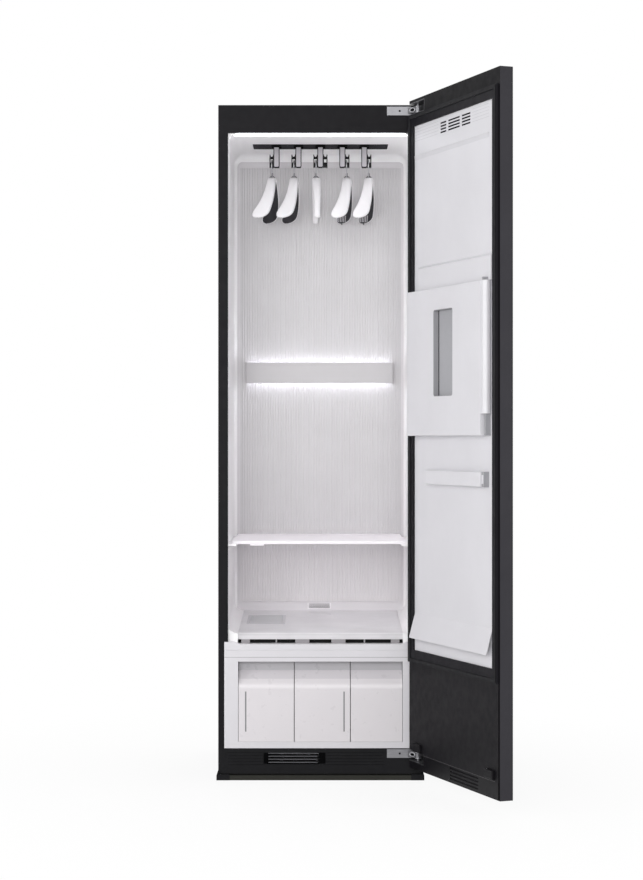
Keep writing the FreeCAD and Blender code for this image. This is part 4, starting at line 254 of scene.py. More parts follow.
    def finish(self, **sockets):
        """A Principled surface on the output."""
        shader = self.add("ShaderNodeBsdfPrincipled", **sockets)
        self.tree.links.new(shader.outputs["BSDF"], self.output.inputs["Surface"])
        return self.material

    def finish_mix(self, share, first, second):
        """Two shaders' mix on the output."""
        mix = self.add("ShaderNodeMixShader", Fac=share)
        self.tree.links.new(first, mix.inputs[1])
        self.tree.links.new(second, mix.inputs[2])
        self.tree.links.new(mix.outputs["Shader"], self.output.inputs["Surface"])
        return self.material


def moulded(name, colour, rough=0.4, grain=0.15, mottle=0.04, coat=0.0, specular=0.5):
    """Moulded plastic or paint: a fine grain, slow tone changes and an uneven gloss."""
    nodes = Nodes(name)
    return nodes.finish(
        Base_Color=nodes.mottled(colour, mottle),
        Roughness=nodes.gloss_about(rough),
        Normal=nodes.grain(grain),
        Coat_Weight=coat,
        Specular_IOR_Level=specular,
    )


def metal(name, colour, rough=0.3, along=(1.0, 1.0, 1.0), dull=0.12):
    """Sheet or cast metal, brushed along the axis that has the smallest number."""
    nodes = Nodes(name)
    lines = nodes.noise(BRUSH_SCALE, BRUSH_DETAIL, nodes.stretched(along))
    return nodes.finish(
        Base_Color=nodes.toned(lines, colour, dull),
        Metallic=1.0,
        Roughness=nodes.spread(lines, rough * 0.8, rough * 1.25),
        Normal=nodes.bump(lines, 0.2, GRAIN_DEPTH),
    )


def glowing(name, colour, low_strength, high_strength, height):
    """Diffusers over light-emitting diodes: one strength below a height, another above it."""
    nodes = Nodes(name)
    light = nodes.ramp(nodes.wave(DIODE_SCALE), (0.0, shade(colour, 0.94)), (1.0, colour))
    return nodes.finish(
        Base_Color=light,
        Roughness=0.4,
        Emission_Color=light,
        Emission_Strength=nodes.mapped(nodes.above("Z", height), 0.0, 1.0, low_strength, high_strength),
    )


def banded(name, low_colour, high_colour, height, soft, rough):
    """Moulding whose tone changes about a height, as painted light: one tone below it, another above it.
    """
    nodes = Nodes(name)
    tone = nodes.ramp(nodes.above("Z", height, soft), (0.0, low_colour), (1.0, high_colour))
    return nodes.finish(
        Base_Color=nodes.scaled(tone, 0.02),
        Roughness=nodes.gloss_about(rough),
        Normal=nodes.grain(0.06, 800.0),
    )


def two_tone(name, front, side, rough, direction=TO_ROOM, specular=0.5):
    """One tone where the surface looks along a direction, another elsewhere."""
    nodes = Nodes(name)
    tone = nodes.ramp(nodes.toward(direction), (0.0, side), (1.0, front))
    return nodes.finish(
        Base_Color=nodes.scaled(tone, 0.05),
        Roughness=nodes.gloss_about(rough),
        Normal=nodes.grain(0.15, 700.0),
        Specular_IOR_Level=specular,
    )


def lined(name, colour, back_shade_colour, depth):
    """White liner whose back wall, deeper than a depth, is a little greyer: painted shade deep in the
    chamber.
    """
    nodes = Nodes(name)
    back = nodes.sum("MULTIPLY", nodes.above("Y", depth, 10 * MM), nodes.toward(TO_ROOM, 0.92))
    return nodes.finish(
        Base_Color=nodes.layered(nodes.mottled(colour), back, back_shade_colour),
        Roughness=nodes.gloss(0.34, 0.42),
        Normal=nodes.grain(0.1),
    )


SCOOP_AT = 315.5 * MM  # the grip recess is above this; it is painted greyer, as shade
SLOPE_AT = 292 * MM  # and its chamfer is from here up to it, painted a lighter shade
SLOPE_SHADE_GREY = srgb(200, 196, 200)
SEAM = 0.6 * MM
SEAM_GREY = srgb(70, 69, 72)
WINDOW_HEIGHTS = (139.5 * MM, 256.5 * MM)
WINDOW_DEPTH = 1.4 * MM
WINDOW_GREY = srgb(128, 128, 130)
# Depths along the tanks' sides that are painted black, as shade in the gaps between them.
GAP_SHADE_DEPTHS = (1.6 * MM, 30 * MM)
GAP_SHADE_BLACK = srgb(10, 10, 11)


def tank(node, colour, scoop_shade_colour):
    """Tank front: grip recess and its chamfer greyer as painted shade, grey level window, and sides
    painted black near the front as shade in the gaps between the tanks.
    """
    nodes = Nodes(f"{node}_white")
    (left, *_), (right, *_) = node_box(node)
    front = nodes.toward(TO_ROOM)
    # Grip recess and its chamfer greyer: painted shade.
    tone = nodes.ramp(nodes.above("Z", SCOOP_AT), (0.0, colour), (1.0, scoop_shade_colour))
    tone = nodes.layered(tone, nodes.between("Z", SLOPE_AT, SCOOP_AT), SLOPE_SHADE_GREY)
    seams = nodes.sum("SUBTRACT", 1.0, nodes.between("X", left + SEAM, right - SEAM))
    tone = nodes.layered(tone, nodes.sum("MULTIPLY", seams, front), SEAM_GREY)
    sunk = nodes.sum("MULTIPLY", nodes.above("Y", WINDOW_DEPTH, 0.1 * MM), front)
    window = nodes.sum("MULTIPLY", nodes.between("Z", *WINDOW_HEIGHTS, 0.5 * MM), sunk)
    tone = nodes.layered(tone, window, WINDOW_GREY)
    # Sides black from just behind the front: painted shade in the gaps between the tanks.
    sides = nodes.sum("MAXIMUM", nodes.toward((1, 0, 0)), nodes.toward((-1, 0, 0)))
    gap_shade = nodes.sum("MULTIPLY", sides, nodes.between("Y", *GAP_SHADE_DEPTHS, 0.5 * MM))
    return nodes.finish(
        Base_Color=nodes.layered(tone, gap_shade, GAP_SHADE_BLACK),
        Roughness=nodes.gloss_about(0.3),
        Normal=nodes.grain(0.02, 700.0),
    )


def seamed(name, colour, line, height, half=0.5 * MM):
    """White moulding with a dark seam line at a height."""
    nodes = Nodes(name)
    band = nodes.between("Z", height - half, height + half, 0.2 * MM)
    seam = nodes.sum("MULTIPLY", band, nodes.toward(TO_ROOM))
    return nodes.finish(
        Base_Color=nodes.layered(nodes.mottled(colour), seam, line),
        Roughness=nodes.gloss(0.32, 0.4),
        Normal=nodes.grain(0.1),
    )


def recessed(name, colour, deep, node, depth, specular=0.4):
    """One tone on a door panel's face, and painted shade in its slots: a dark tone with little
    reflection.
    """
    nodes = Nodes(name)
    face = nodes.step(nodes.dot(nodes.place, DOOR_INNER_WAY), inner_face(node) - depth, 0.1 * MM)
    return nodes.finish(
        Base_Color=nodes.layered(nodes.mottled(colour), nodes.sum("SUBTRACT", 1.0, face), deep),
        Roughness=nodes.gloss(0.34, 0.42),
        Normal=nodes.grain(0.1),
        Specular_IOR_Level=nodes.spread(face, 0.02, specular),
    )


def slotted(name, colour, dark, pitch, half_slot):
    """Satin plate with a slot at each step of a pitch along X, the slots painted dark as shade."""
    nodes = Nodes(name)
    across = nodes.along("X")
    soft = 0.4 * MM
    row_end = 2.5 * pitch  # half of five slots' row
    plain = nodes.step(nodes.sum("PINGPONG", across, pitch / 2), half_slot, soft)
    beside = nodes.mapped(nodes.sum("ABSOLUTE", across), row_end, row_end + soft)
    return nodes.finish(
        Base_Color=nodes.ramp(nodes.sum("MAXIMUM", plain, beside), (0.0, dark), (1.0, colour)),
        Roughness=nodes.gloss(0.6, 0.75),
        Normal=nodes.grain(0.2),
        Specular_IOR_Level=0.03,
    )


def ribbed(name, colour, pitch):
    """Satin moulding with fine upright ribs; their grooves are painted darker and their crests lighter,
    as painted shade and highlight.
    """
    nodes = Nodes(name)
    ribs = nodes.wave(WAVE_SPACING / pitch)
    return nodes.finish(
        # Grooves darker, crests lighter: painted shade and highlight, besides the bump.
        Base_Color=nodes.ramp(ribs, (0.1, shade(colour, 0.82)), (0.9, shade(colour, 1.12))),
        Roughness=nodes.gloss(0.4, 0.5),
        Normal=nodes.bump(ribs, 0.3, 0.5 * MM),
        Specular_IOR_Level=0.3,
    )


def stepped(name, front, deep, depth):
    """Moulding whose front faces are one tone and whose deeper ones, along Y, another: painted shade."""
    nodes = Nodes(name)
    return nodes.finish(
        Base_Color=nodes.ramp(nodes.above("Y", depth, 0.3 * MM), (0.0, front), (1.0, deep)),
        Roughness=nodes.gloss(0.5, 0.7, 60.0),
        Normal=nodes.grain(0.2, 800.0),
        Specular_IOR_Level=0.15,
    )


def woven(name, colour, scale):
    """Pressing cloth: a plain weave with a slight sheen."""
    nodes = Nodes(name)
    threads = nodes.sum("ADD", nodes.wave(scale), nodes.wave(scale, "Z"))
    return nodes.finish(
        Base_Color=nodes.ramp(threads, (0.2, shade(colour, 0.8)), (0.9, shade(colour, 1.1))),
        Roughness=0.9,
        Sheen_Weight=0.2,
        Normal=nodes.bump(threads, 0.4, 0.5 * MM),
    )


def frosted(name, colour, clear):
    """Frosted acrylic: light soaks through it and spreads, and it has a faint glow of painted light."""
    nodes = Nodes(name)
    tone = nodes.ramp(nodes.noise(TONE_SCALE), (NOISE_LOW, shade(colour, 0.985)), (NOISE_HIGH, colour))
    solid = nodes.add(
        "ShaderNodeBsdfPrincipled",
        Base_Color=tone,
        Roughness=0.35,
        Emission_Color=tone,
        # Faint glow: painted light.
        Emission_Strength=0.26,
        Normal=nodes.grain(0.08),
    )
    through = nodes.add("ShaderNodeBsdfTranslucent", Color=tone)
    return nodes.finish_mix(clear, solid.outputs["BSDF"], through.outputs["BSDF"])


DULL = 0.1  # specular level of the dark satin finishes
CEILING_SLOT_HALF = 14.5 * MM
HOLDER_RIB_PITCH = 3.2 * MM
COMB_DEPTH = 20.5 * MM  # deeper than this the intake comb's inside is painted dark, as shade
VENT_DEPTH = 0.8 * MM
DOOR_GRILLE_DEPTH = 0.5 * MM
WEAVE_SCALE = 1 / (1.2 * MM)  # threads lie about 0.38 mm apart
BACK_WALL_DEPTH = 300 * MM
SHELF_LEVEL = 660 * MM  # the wall is painted lighter below it, with a soft change: painted light under the shelf
SHELF_FADE = 50 * MM
BAY_SEAM_AT = 355.5 * MM
BAR_AND_CEILING = 1.7  # the light bar is below this height, the ceiling light above it
TANKS = ("supply_tank", "drain_tank", "storage_drawer")
BLACK_PAINT = moulded("black_paint", srgb(19, 19, 23), 0.5, 0.1, mottle=0.03, specular=DULL)
BLACK_TRIM = moulded("black_trim_moulding", srgb(19, 18, 21), 0.5, 0.1, mottle=0.05, specular=DULL)
FRAME_BLACK = moulded("door_frame_black", srgb(22, 21, 25), 0.5, 0.1, mottle=0.08, specular=DULL)
BLACK_GLASS = moulded("smoked_glass", srgb(16, 16, 18), 0.1, 0.0, mottle=0.1, coat=0.2, specular=0.25)
TRAY_GREY = two_tone("tray_grey", srgb(14, 13, 16), srgb(52, 51, 55), 0.5, DOOR_INNER_WAY, 0.08)
RUBBER = moulded("seal_rubber", srgb(30, 30, 32), 0.7, 0.4, mottle=0.1, specular=0.15)
FOOT_RUBBER = moulded("foot_rubber", srgb(30, 30, 30), 0.75, 0.5, mottle=0.15, specular=0.3)
# Liner's back wall is a little greyer: painted shade.
CHAMBER_WHITE = lined("chamber_white", srgb(255, 253, 255), srgb(220, 217, 220), BACK_WALL_DEPTH)
# Fluted back wall: lighter below the shelf, as painted light.
WALL_WHITE = banded(
    "fluted_wall_white", srgb(221, 218, 220), srgb(206, 204, 206), SHELF_LEVEL, SHELF_FADE, 0.32
)
BAR_SATIN = moulded("light_bar_satin", srgb(199, 197, 199), 0.45, 0.2, mottle=0.02)
# Ceiling plate: its slots painted near-black, as shade.
PLATE_GREY = slotted(
    "ceiling_plate_grey", srgb(50, 49, 52), srgb(4, 4, 5), HOLDER_PITCH, CEILING_SLOT_HALF
)
CRADLE_BLACK = moulded("cradle_black", srgb(22, 22, 23), 0.5, 0.2, mottle=0.1, specular=0.25)
HOLDER = moulded("holder_black", srgb(16, 16, 17), 0.5, 0.2, mottle=0.1, specular=DULL)
HOLDER_BAR = ribbed("holder_bar_grey", srgb(178, 175, 180), HOLDER_RIB_PITCH)
COLLAR = moulded("collar_grey", srgb(62, 60, 64), 0.4, 0.2, specular=0.3)
RIB_WHITE = moulded("grip_rib_white", srgb(212, 210, 213), 0.5, 0.2)
HANGER_WHITE = moulded("hanger_white", srgb(242, 240, 242), 0.35, 0.1, mottle=0.015)
HANGER_DARK = moulded("hanger_underside", srgb(44, 43, 47), 0.6, 0.35, mottle=0.1, specular=0.3)
WIRE = metal("hook_wire", srgb(190, 190, 194), 0.3)
# Chamber floor: faces toward the room darker than its top, painted shade.
FLOOR_WHITE = two_tone("floor_white", srgb(208, 206, 209), srgb(229, 228, 230), 0.36)
FILTER_GREY = moulded("filter_grey", srgb(208, 207, 210), 0.5, 0.2)
GRILLE_GREY = moulded("grille_grey", srgb(243, 240, 243), 0.5, 0.2)
# Intake comb: its inside painted near-black, as shade.
COMB_DARK = stepped("comb_dark", srgb(150, 147, 150), srgb(7, 7, 8), COMB_DEPTH)
TANK_LOOKS = {tank(node, srgb(214, 210, 213), srgb(171, 169, 173)): (node,) for node in TANKS}
BAY_WHITE = seamed("bay_white", srgb(209, 207, 211), srgb(112, 110, 114), BAY_SEAM_AT)
BASE_BLACK = moulded("base_black", srgb(22, 22, 24), 0.55, 0.3, mottle=0.12, specular=DULL)
PRESS_WHITE = moulded("press_white", srgb(209, 208, 212), 0.36, 0.1, mottle=0.02)
# Vent slots of the door liner and slots of the door grille: painted shade.
PRESS_PANEL = recessed("door_liner_white", srgb(209, 208, 212), srgb(3, 3, 3), "door_liner", VENT_DEPTH)
DOOR_GRILLE = recessed(
    "door_grille_black", srgb(18, 17, 20), srgb(1, 1, 1), "door_bottom_grille", DOOR_GRILLE_DEPTH, 0.08
)
STRIP_GREY = moulded("foot_strip_grey", srgb(47, 47, 43), 0.5, 0.3, mottle=0.08, specular=DULL)
SLAT_GREY = moulded("louvre_slat_grey", srgb(104, 104, 108), 0.45, 0.2, mottle=0.08, specular=0.3)
# Near-black; as the bar at the pull pocket's grip edge and in the hinge slots it is painted shade.
SLOT_BLACK = moulded("slot_black", srgb(4, 4, 5), 0.7, 0.2, mottle=0.1, specular=0.03)
LINE_PALE = moulded("panel_line_pale", srgb(184, 183, 187), 0.45, 0.2, specular=0.3)
# Panel step, a little darker than the panel: painted shade, besides the shading of its slope.
STEP_WHITE = moulded("panel_step_white", srgb(201, 200, 204), 0.4, 0.1, mottle=0.02)
LINE_GREY = moulded("trim_line_grey", srgb(74, 72, 74), 0.45, 0.2, mottle=0.08, specular=0.2)
PRESS_GREY = moulded("press_grey", srgb(150, 150, 154), 0.4, 0.2)
POCKET_GREY = moulded("pocket_grey", srgb(156, 156, 160), 0.4, 0.2)
DUCT_GREY = moulded("duct_grey", srgb(130, 130, 133), 0.6, 0.3)
SHELF_WHITE = frosted("shelf_white", srgb(252, 250, 252), 0.65)
CLOTH = woven("pressing_cloth", srgb(195, 195, 197), WEAVE_SCALE)
ZINC = metal("zinc_sheet", srgb(190, 191, 193), 0.42, dull=0.1)
HINGE_STEEL = metal("hinge_steel", srgb(124, 124, 127), 0.4, along=(1.0, 8.0, 8.0))
PIN_STEEL = metal("pin_steel", srgb(196, 196, 200), 0.28, along=(8.0, 8.0, 1.0))
TANK_STEEL = metal("tank_steel", srgb(200, 200, 202), 0.3, along=(8.0, 8.0, 1.0))
FIN_ALUMINIUM = metal("fin_aluminium", srgb(215, 216, 220), 0.3, along=(8.0, 8.0, 1.0))
SHELL_BLACK = moulded("compressor_black", srgb(26, 26, 27), 0.35, 0.3, mottle=0.2)
LIGHT = glowing("light_diffuser", (0.93, 0.95, 1.0), 13.0, 4.5, BAR_AND_CEILING)

LOOKS = {
    BLACK_PAINT: ("outer_casing",),
    BLACK_TRIM: ("front_surround", "door_lower_panel"),
    FRAME_BLACK: ("door_raised_frame",),
    BLACK_GLASS: ("door_outer_panel",),
    TRAY_GREY: ("door_tray",),
    RUBBER: ("door_gasket",),
    FOOT_RUBBER: ("cord_gland", "levelling_feet"),
    CHAMBER_WHITE: ("inner_liner",),
    WALL_WHITE: ("back_wall_panel",),
    BAR_SATIN: ("light_bar_cover",),
    LIGHT: ("led_strips",),
    PLATE_GREY: ("ceiling_plate",),
    CRADLE_BLACK: ("hanger_cradles",),
    HOLDER: ("hanger_holders", "hanger_carriage"),
    FLOOR_WHITE: ("floor_panel",),
    FILTER_GREY: ("lint_filter",),
    GRILLE_GREY: ("air_outlet_grille",),
    COMB_DARK: ("intake_slot",),
    BAY_WHITE: ("tank_band", "tank_bay_frame"),
    BASE_BLACK: ("base_grille", "strip_end_caps"),
    STRIP_GREY: ("foot_strip",),
    DOOR_GRILLE: ("door_bottom_grille",),
    PRESS_PANEL: ("door_liner",),
    PRESS_WHITE: ("drip_lip", "press_base", "press_cover", "hem_clamp_bar"),
    PRESS_GREY: ("press_pocket", "pivot_brackets"),
    CLOTH: ("press_pad",),
    **TANK_LOOKS,
    SHELF_WHITE: ("shelf",),
    HANGER_WHITE: tuple(f"hanger_{index}" for index in range(1, 6)),
    DUCT_GREY: ("bay_housing", "air_duct", "fan_housing", "fan_wheel", "control_board", "water_pump"),
    ZINC: ("back_panel", "base_pan"),
    HINGE_STEEL: ("hinge_plates", "hinge_cups", "hinge_pins"),
    TANK_STEEL: ("steam_generator", "fan_motor", "hanger_drive_motor"),
    FIN_ALUMINIUM: ("heat_exchangers",),
    SHELL_BLACK: ("compressor",),
}


def dress_frame():
    """Gives every CAD node its look."""
    looks = {node: look for look, names in LOOKS.items() for node in names}
    for name, node in NODES.items():
        look = looks.get(name)
        if look is None:
            print("no look for", name)
            continue
        for slot in node.material_slots:
            slot.material = look


# ---------------------------------------------------------------- light, floor and camera

WHITE_ROOM = 1.0
ROOM_LIGHT = 0.5
FLOOR_REACH = 12.0
SHADOW_START = 0.4
SHADOW_REACH = 1.6
SHADOW_SHARE = 0.12
CAMERA_PLACE = (0.0033, -5.88, 0.9853)
SENSOR_MM = 36.0
LENS_MM = 82.99
VIEW_REACH = 60.0
LAMPS_AIM = (0.0, 0.1, 1.0)
LAMPS = (  # name, place, size, power
    ("front_light", (-0.6, -4.3, 1.7), (3.2, 2.0), 92),
    ("left_light", (-3.6, -1.8, 1.8), (1.6, 2.6), 44),
    ("right_light", (3.8, -2.2, 1.8), (1.6, 2.6), 40),
    ("top_light", (0.0, 1.5, 4.2), (3.0, 3.0), 30),
    ("back_light", (0.0, 4.5, 2.2), (3.0, 2.0), 50),
)


def placed(name, data):
    """A new object in the scene."""
    piece = bpy.data.objects.new(name, data)
    bpy.context.collection.objects.link(piece)
    return piece


def camera():
    data = bpy.data.cameras.new("camera")
    data.sensor_width = SENSOR_MM
    data.lens = LENS_MM
    data.clip_end = VIEW_REACH
    seat = placed("camera", data)
    seat.location = CAMERA_PLACE
    seat.rotation_euler = (math.radians(90), 0, 0)
    bpy.context.scene.camera = seat


def seen_directly(tree):
    """1 for rays from the camera, a mirror or glass, else 0."""
    path = tree.nodes.new("ShaderNodeLightPath")
    total = path.outputs["Is Camera Ray"]
    for name in ("Is Glossy Ray", "Is Transmission Ray"):
        either = tree.nodes.new("ShaderNodeMath")
        either.operation = "MAXIMUM"
        tree.links.new(total, either.inputs[0])
        tree.links.new(path.outputs[name], either.inputs[1])
        total = either.outputs["Value"]
    return total


def world():
    """White to the camera and in reflections, a plain soft grey as light."""
    studio = bpy.data.worlds.new("studio")
    studio.use_nodes = True
    bpy.context.scene.world = studio
    tree = studio.node_tree
    back = tree.nodes["Background"]
    back.inputs["Color"].default_value = (1.0, 1.0, 1.0, 1.0)
    strength = tree.nodes.new("ShaderNodeMapRange")
    tree.links.new(seen_directly(tree), strength.inputs["Value"])
    strength.inputs["To Min"].default_value = ROOM_LIGHT
    strength.inputs["To Max"].default_value = WHITE_ROOM
    tree.links.new(strength.outputs["Result"], back.inputs["Strength"])


def floor():
    """Pale floor: white to the camera, with a faint shadow near the cabinet."""
    nodes = Nodes("studio_floor")
    diffuse = nodes.add("ShaderNodeBsdfDiffuse", Color=(0.9, 0.9, 0.9))
    white = nodes.add("ShaderNodeEmission", Color=(1.0, 1.0, 1.0), Strength=1.0)
    away = nodes.add("ShaderNodeVectorMath", Vector=nodes.place)
    away.operation = "LENGTH"
    near = nodes.mapped(away.outputs["Value"], SHADOW_START, SHADOW_REACH, 1 - SHADOW_SHARE)
    share = nodes.sum("MULTIPLY", seen_directly(nodes.tree), near)
    nodes.finish_mix(share, diffuse.outputs["BSDF"], white.outputs["Emission"])
    mesh = bpy.data.meshes.new("studio_floor")
    mesh.from_pydata([(x * FLOOR_REACH, y * FLOOR_REACH, 0) for x, y in CORNERS], [], [(0, 1, 2, 3)])
    mesh.materials.append(nodes.material)
    ground = placed("studio_floor", mesh)


def lights():
    for name, place, size, power in LAMPS:
        data = bpy.data.lights.new(name, "AREA")
        data.shape = "RECTANGLE"
        data.size, data.size_y = size
        data.energy = power
        seat = placed(name, data)
        seat.location = place
        seat.rotation_euler = (Vector(LAMPS_AIM) - Vector(place)).to_track_quat("-Z", "Y").to_euler()


# ---------------------------------------------------------------- mesh helpers


def circle(count):
    """Angles at even steps round a circle."""
    return [math.tau * step / count for step in range(count)]


def mesh_piece(name, points, faces, looks, body, smooth=True, marks=None):
    """A mesh object that rides on a body; marks gives each face's look."""
    mesh = bpy.data.meshes.new(name)
    mesh.from_pydata([tuple(point) for point in points], [], faces)
    for look in looks:
        mesh.materials.append(look)
    for index, face in enumerate(mesh.polygons):
        face.use_smooth = smooth
        if marks:
            face.material_index = marks[index]
    piece = placed(name, mesh)
    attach(piece, body)
    return piece


def loft(sections, marks_of_edge=None):
    """Points, faces and marks of a closed skin through rings of equally many points."""
    count = len(sections[0])
    points = [point for ring in sections for point in ring]
    faces = []
    marks = []
    for row in range(len(sections) - 1):
        for index in range(count):
            after = (index + 1) % count
            low, high = row * count, (row + 1) * count
            faces.append((low + index, low + after, high + after, high + index))
            marks.append(marks_of_edge[index] if marks_of_edge else 0)
    faces.append(tuple(reversed(range(count))))
    faces.append(tuple(range(len(points) - count, len(points))))
    marks += [0, 0]
    return points, faces, marks


def tube(name, path, radius, look, body, closed=False, roundness=2):
    """A round wire along a list of points."""
    curve = bpy.data.curves.new(name, "CURVE")
    curve.dimensions = "3D"
    curve.bevel_depth = radius
    curve.bevel_resolution = roundness
    curve.use_fill_caps = True
    line = curve.splines.new("POLY")
    line.points.add(len(path) - 1)
    for point, place in zip(line.points, path):
        point.co = (*place, 1.0)
    line.use_cyclic_u = closed
    line.use_smooth = True
    curve.materials.append(look)
    piece = placed(name, curve)
    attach(piece, body)


def plate(name, outline, start, end, look, body, slot, edge=0.6 * MM, axis="Y"):
    """A flat piece with a bevelled edge: an outline in one plane, from start to end."""
    mesh = bpy.data.meshes.new(name)
    places = []
    for level in (start, end):
        for across, up in outline:
            places.append((across, level, up) if axis == "Y" else (level, across, up))
    count = len(outline)
    faces = [tuple(range(count)), tuple(reversed(range(count, 2 * count)))]
    for index in range(count):
        after = (index + 1) % count
        faces.append((index, count + index, count + after, after))
    mesh.from_pydata(places, [], faces)
    mesh.materials.append(look)
    piece = placed(name, mesh)
    bevel = piece.modifiers.new("edges", "BEVEL")
    bevel.width = edge
    bevel.segments = 2
    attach(piece, body)


def rectangle(left, right, low, high):
    """Outline of an upright rectangle."""
    return [(left, low), (right, low), (right, high), (left, high)]


# ---------------------------------------------------------------- hangers

NECK_BELOW_PIVOT = 36.9 * MM
HANGER_TILT = math.radians(3)
STATIONS = 48  # rings along a hanger

# The arm along its length. A share goes from 0 at the neck to 1 at the tip.
ARM_HALF = 164 * MM
ARM_DROP = 130 * MM
ARM_THICK = 14 * MM
NECK_THICK = 10 * MM
FULL_WIDTH_AT = 0.85
FULL_THICK_AT = 0.2
THINNER_OUT = 0.35
THINNER_END = 0.5
DROP_CURVE = 2.3  # the arm sinks as the square root of the share to this power
DROP_ROUND = 0.002
SLOPE_FROM = 0.12  # from the neck to here, the rings turn to the slope
END_CURVE = 2.5
END_LEAST = 0.12  # share of the width that is left at the tip

# A ring across the arm. Levels are shares of its thickness, and reaches of its half width.
SKIRT_FOOT = -0.45
DOME_TOP = 0.55
DOME_CURVE = 0.8
DOME_STEPS = 8
RECESS_EDGE, RECESS_SIDE, RECESS_MIDDLE = -0.2, -0.12, -0.1
RECESS_REACH = 0.4
SKIN = 1.6 * MM
SKIN_MOST = 0.3  # of the half width
OUTER_EDGES, RECESS_EDGES = 12, 5  # from the left skirt over the dome, then below it

HOOK_RADIUS = 18 * MM
HOOK_RISE = 33 * MM
HOOK_ROOT = 8 * MM
HOOK_WIRE = 1.6 * MM
HOOK_TIP = math.radians(20)
HOOK_STEPS = 26

# Ferrule and peg: height and radius of their rings, in millimetres.
FERRULE = ((12.5, 1.9), (11.8, 2.5), (3.0, 2.7), (1.0, 3.4), (-1.5, 3.4))
FERRULE_FRONT = 1.3 * MM
PEG = ((1.0, 2.0), (-3.0, 2.1), (-10.0, 1.5), (-11.2, 0.7))
PEG_AT = 0.965
PEG_SIDE = -0.02  # share of the end's width
FEET_REACH = 8.2 * MM
FEET_TOP = 3.4 * MM
FEET_DROP = 4.6 * MM
FEET_CURVE = 1.2
FEET_WIRE = 1.3 * MM
FEET_STEPS = 12
RIB_COUNT = 6
RIB_FIRST, RIB_PITCH = -0.40, 0.11  # shares of the end's width
RIB_LEVELS = (-0.2, -0.5)  # shares of the thickness
RIB_AT, RIB_REACH = 0.9, 0.062  # the ribs' middle and half length, as shares of the arm
RIB_SLANT = 2.6 * MM
RIB_HALF = 0.85 * MM

# turn: about the upright axis, in degrees; bow: sideways reach of both ends;
# neck, end: widths; shift: sideways; tip: share of the arm where its end starts to round
# off; dark: charcoal underside; grip: ribbed pad under the far end.
Hanger = namedtuple("Hanger", "turn bow neck end shift tip dark grip")
HANGERS = (
    Hanger(-3.85, 30 * MM, 26 * MM, 47 * MM, -0.5 * MM, 0.86, True, False),
    Hanger(-1.8, 30 * MM, 26 * MM, 47 * MM, -0.5 * MM, 0.86, True, False),
    Hanger(1.4, 0.0, 24 * MM, 15.5 * MM, 1.4 * MM, 0.97, False, False),
    Hanger(-3.15, 25 * MM, 26 * MM, 45.5 * MM, 0.8 * MM, 0.86, True, True),
    Hanger(-3.95, 25 * MM, 26 * MM, 45.5 * MM, 0.2 * MM, 0.86, True, True),
)


def arm_middle(reach, style):
    """Middle of the arm at a reach from -1, its near end, to 1."""
    share = abs(reach)
    sink = ARM_DROP * math.sqrt(share**DROP_CURVE + DROP_ROUND)
    return Vector((style.shift - style.bow * share**3, ARM_HALF * reach, -sink))


def end_share(share, style):
    """0 up to where the arm's end starts to round off, 1 at its tip."""
    return max(0.0, (share - style.tip) / (1 - style.tip))


def arm_width(share, style):
    """Width of the arm, with its end rounded off."""
    width = style.neck + (style.end - style.neck) * min(1.0, share / FULL_WIDTH_AT) ** 2
    return width * max(END_LEAST, math.sqrt(1 - min(1.0, end_share(share, style) ** END_CURVE)))


def arm_tilt(reach):
    """The arm's slope at a reach, as a turn about the axis across it."""
    share = abs(reach)
    power = DROP_CURVE / 2
    slope = power * ARM_DROP * share ** (power - 1) / ARM_HALF * min(1.0, share / SLOPE_FROM)
    return Matrix.Rotation(-math.copysign(math.atan(slope), reach), 4, "X")


def arm_thick(share, style):
    """Thickness of the arm, thinner outward and at its rounded end."""
    full = NECK_THICK + (ARM_THICK - NECK_THICK) * min(1.0, share / FULL_THICK_AT)
    return full * (1 - THINNER_OUT * share) * (1 - THINNER_END * end_share(share, style) ** 2)


def hanger_ring(reach, style):
    """One ring of the hanger's skin: domed top, short skirt, recessed underside."""
    thick = arm_thick(abs(reach), style)
    half = arm_width(abs(reach), style) / 2
    ring = [(-half, SKIRT_FOOT * thick)]
    for step in range(DOME_STEPS + 1):
        angle = math.pi * (1 - step / DOME_STEPS)
        ring.append((half * math.cos(angle), DOME_TOP * thick * math.sin(angle) ** DOME_CURVE))
    ring.append((half, SKIRT_FOOT * thick))
    inner = half - min(SKIN, half * SKIN_MOST)
    side = half * RECESS_REACH
    recess = ((inner, SKIRT_FOOT), (inner, RECESS_EDGE), (side, RECESS_SIDE), (0.0, RECESS_MIDDLE))
    recess += ((-side, RECESS_SIDE), (-inner, RECESS_EDGE), (-inner, SKIRT_FOOT))
    ring += [(across, level * thick) for across, level in recess]
    middle = arm_middle(reach, style)
    tilt = arm_tilt(reach)
    return [middle + tilt @ Vector((x, 0, z)) for x, z in ring]


def hanger_frame(place, yaw):
    """From the hanger's own axes, at its neck, to the cabinet's."""
    pivot = Vector((0, 0, NECK_BELOW_PIVOT))
    neck = Matrix.Translation(Vector(place) - pivot)
    lean = Matrix.Translation(pivot) @ Matrix.Rotation(HANGER_TILT, 4, "X")
    turn = Matrix.Rotation(math.radians(yaw), 4, "Z")
    return neck @ turn @ lean @ Matrix.Translation(-pivot)


def hook_path():
    """The hook's wire: a straight shank, then round the cradle's bar to its tip."""
    middle = Vector((0, 0, HOOK_RISE))
    foot = Vector((0, 0, -HOOK_ROOT))
    lean = math.acos(HOOK_RADIUS / (middle - foot).length)
    start = -math.pi / 2 - lean
    end = -2 * math.pi - HOOK_TIP
    path = [foot]
    for step in range(HOOK_STEPS + 1):
        angle = start + (end - start) * step / HOOK_STEPS
        path.append(middle + HOOK_RADIUS * Vector((0, math.cos(angle), math.sin(angle))))
    return path


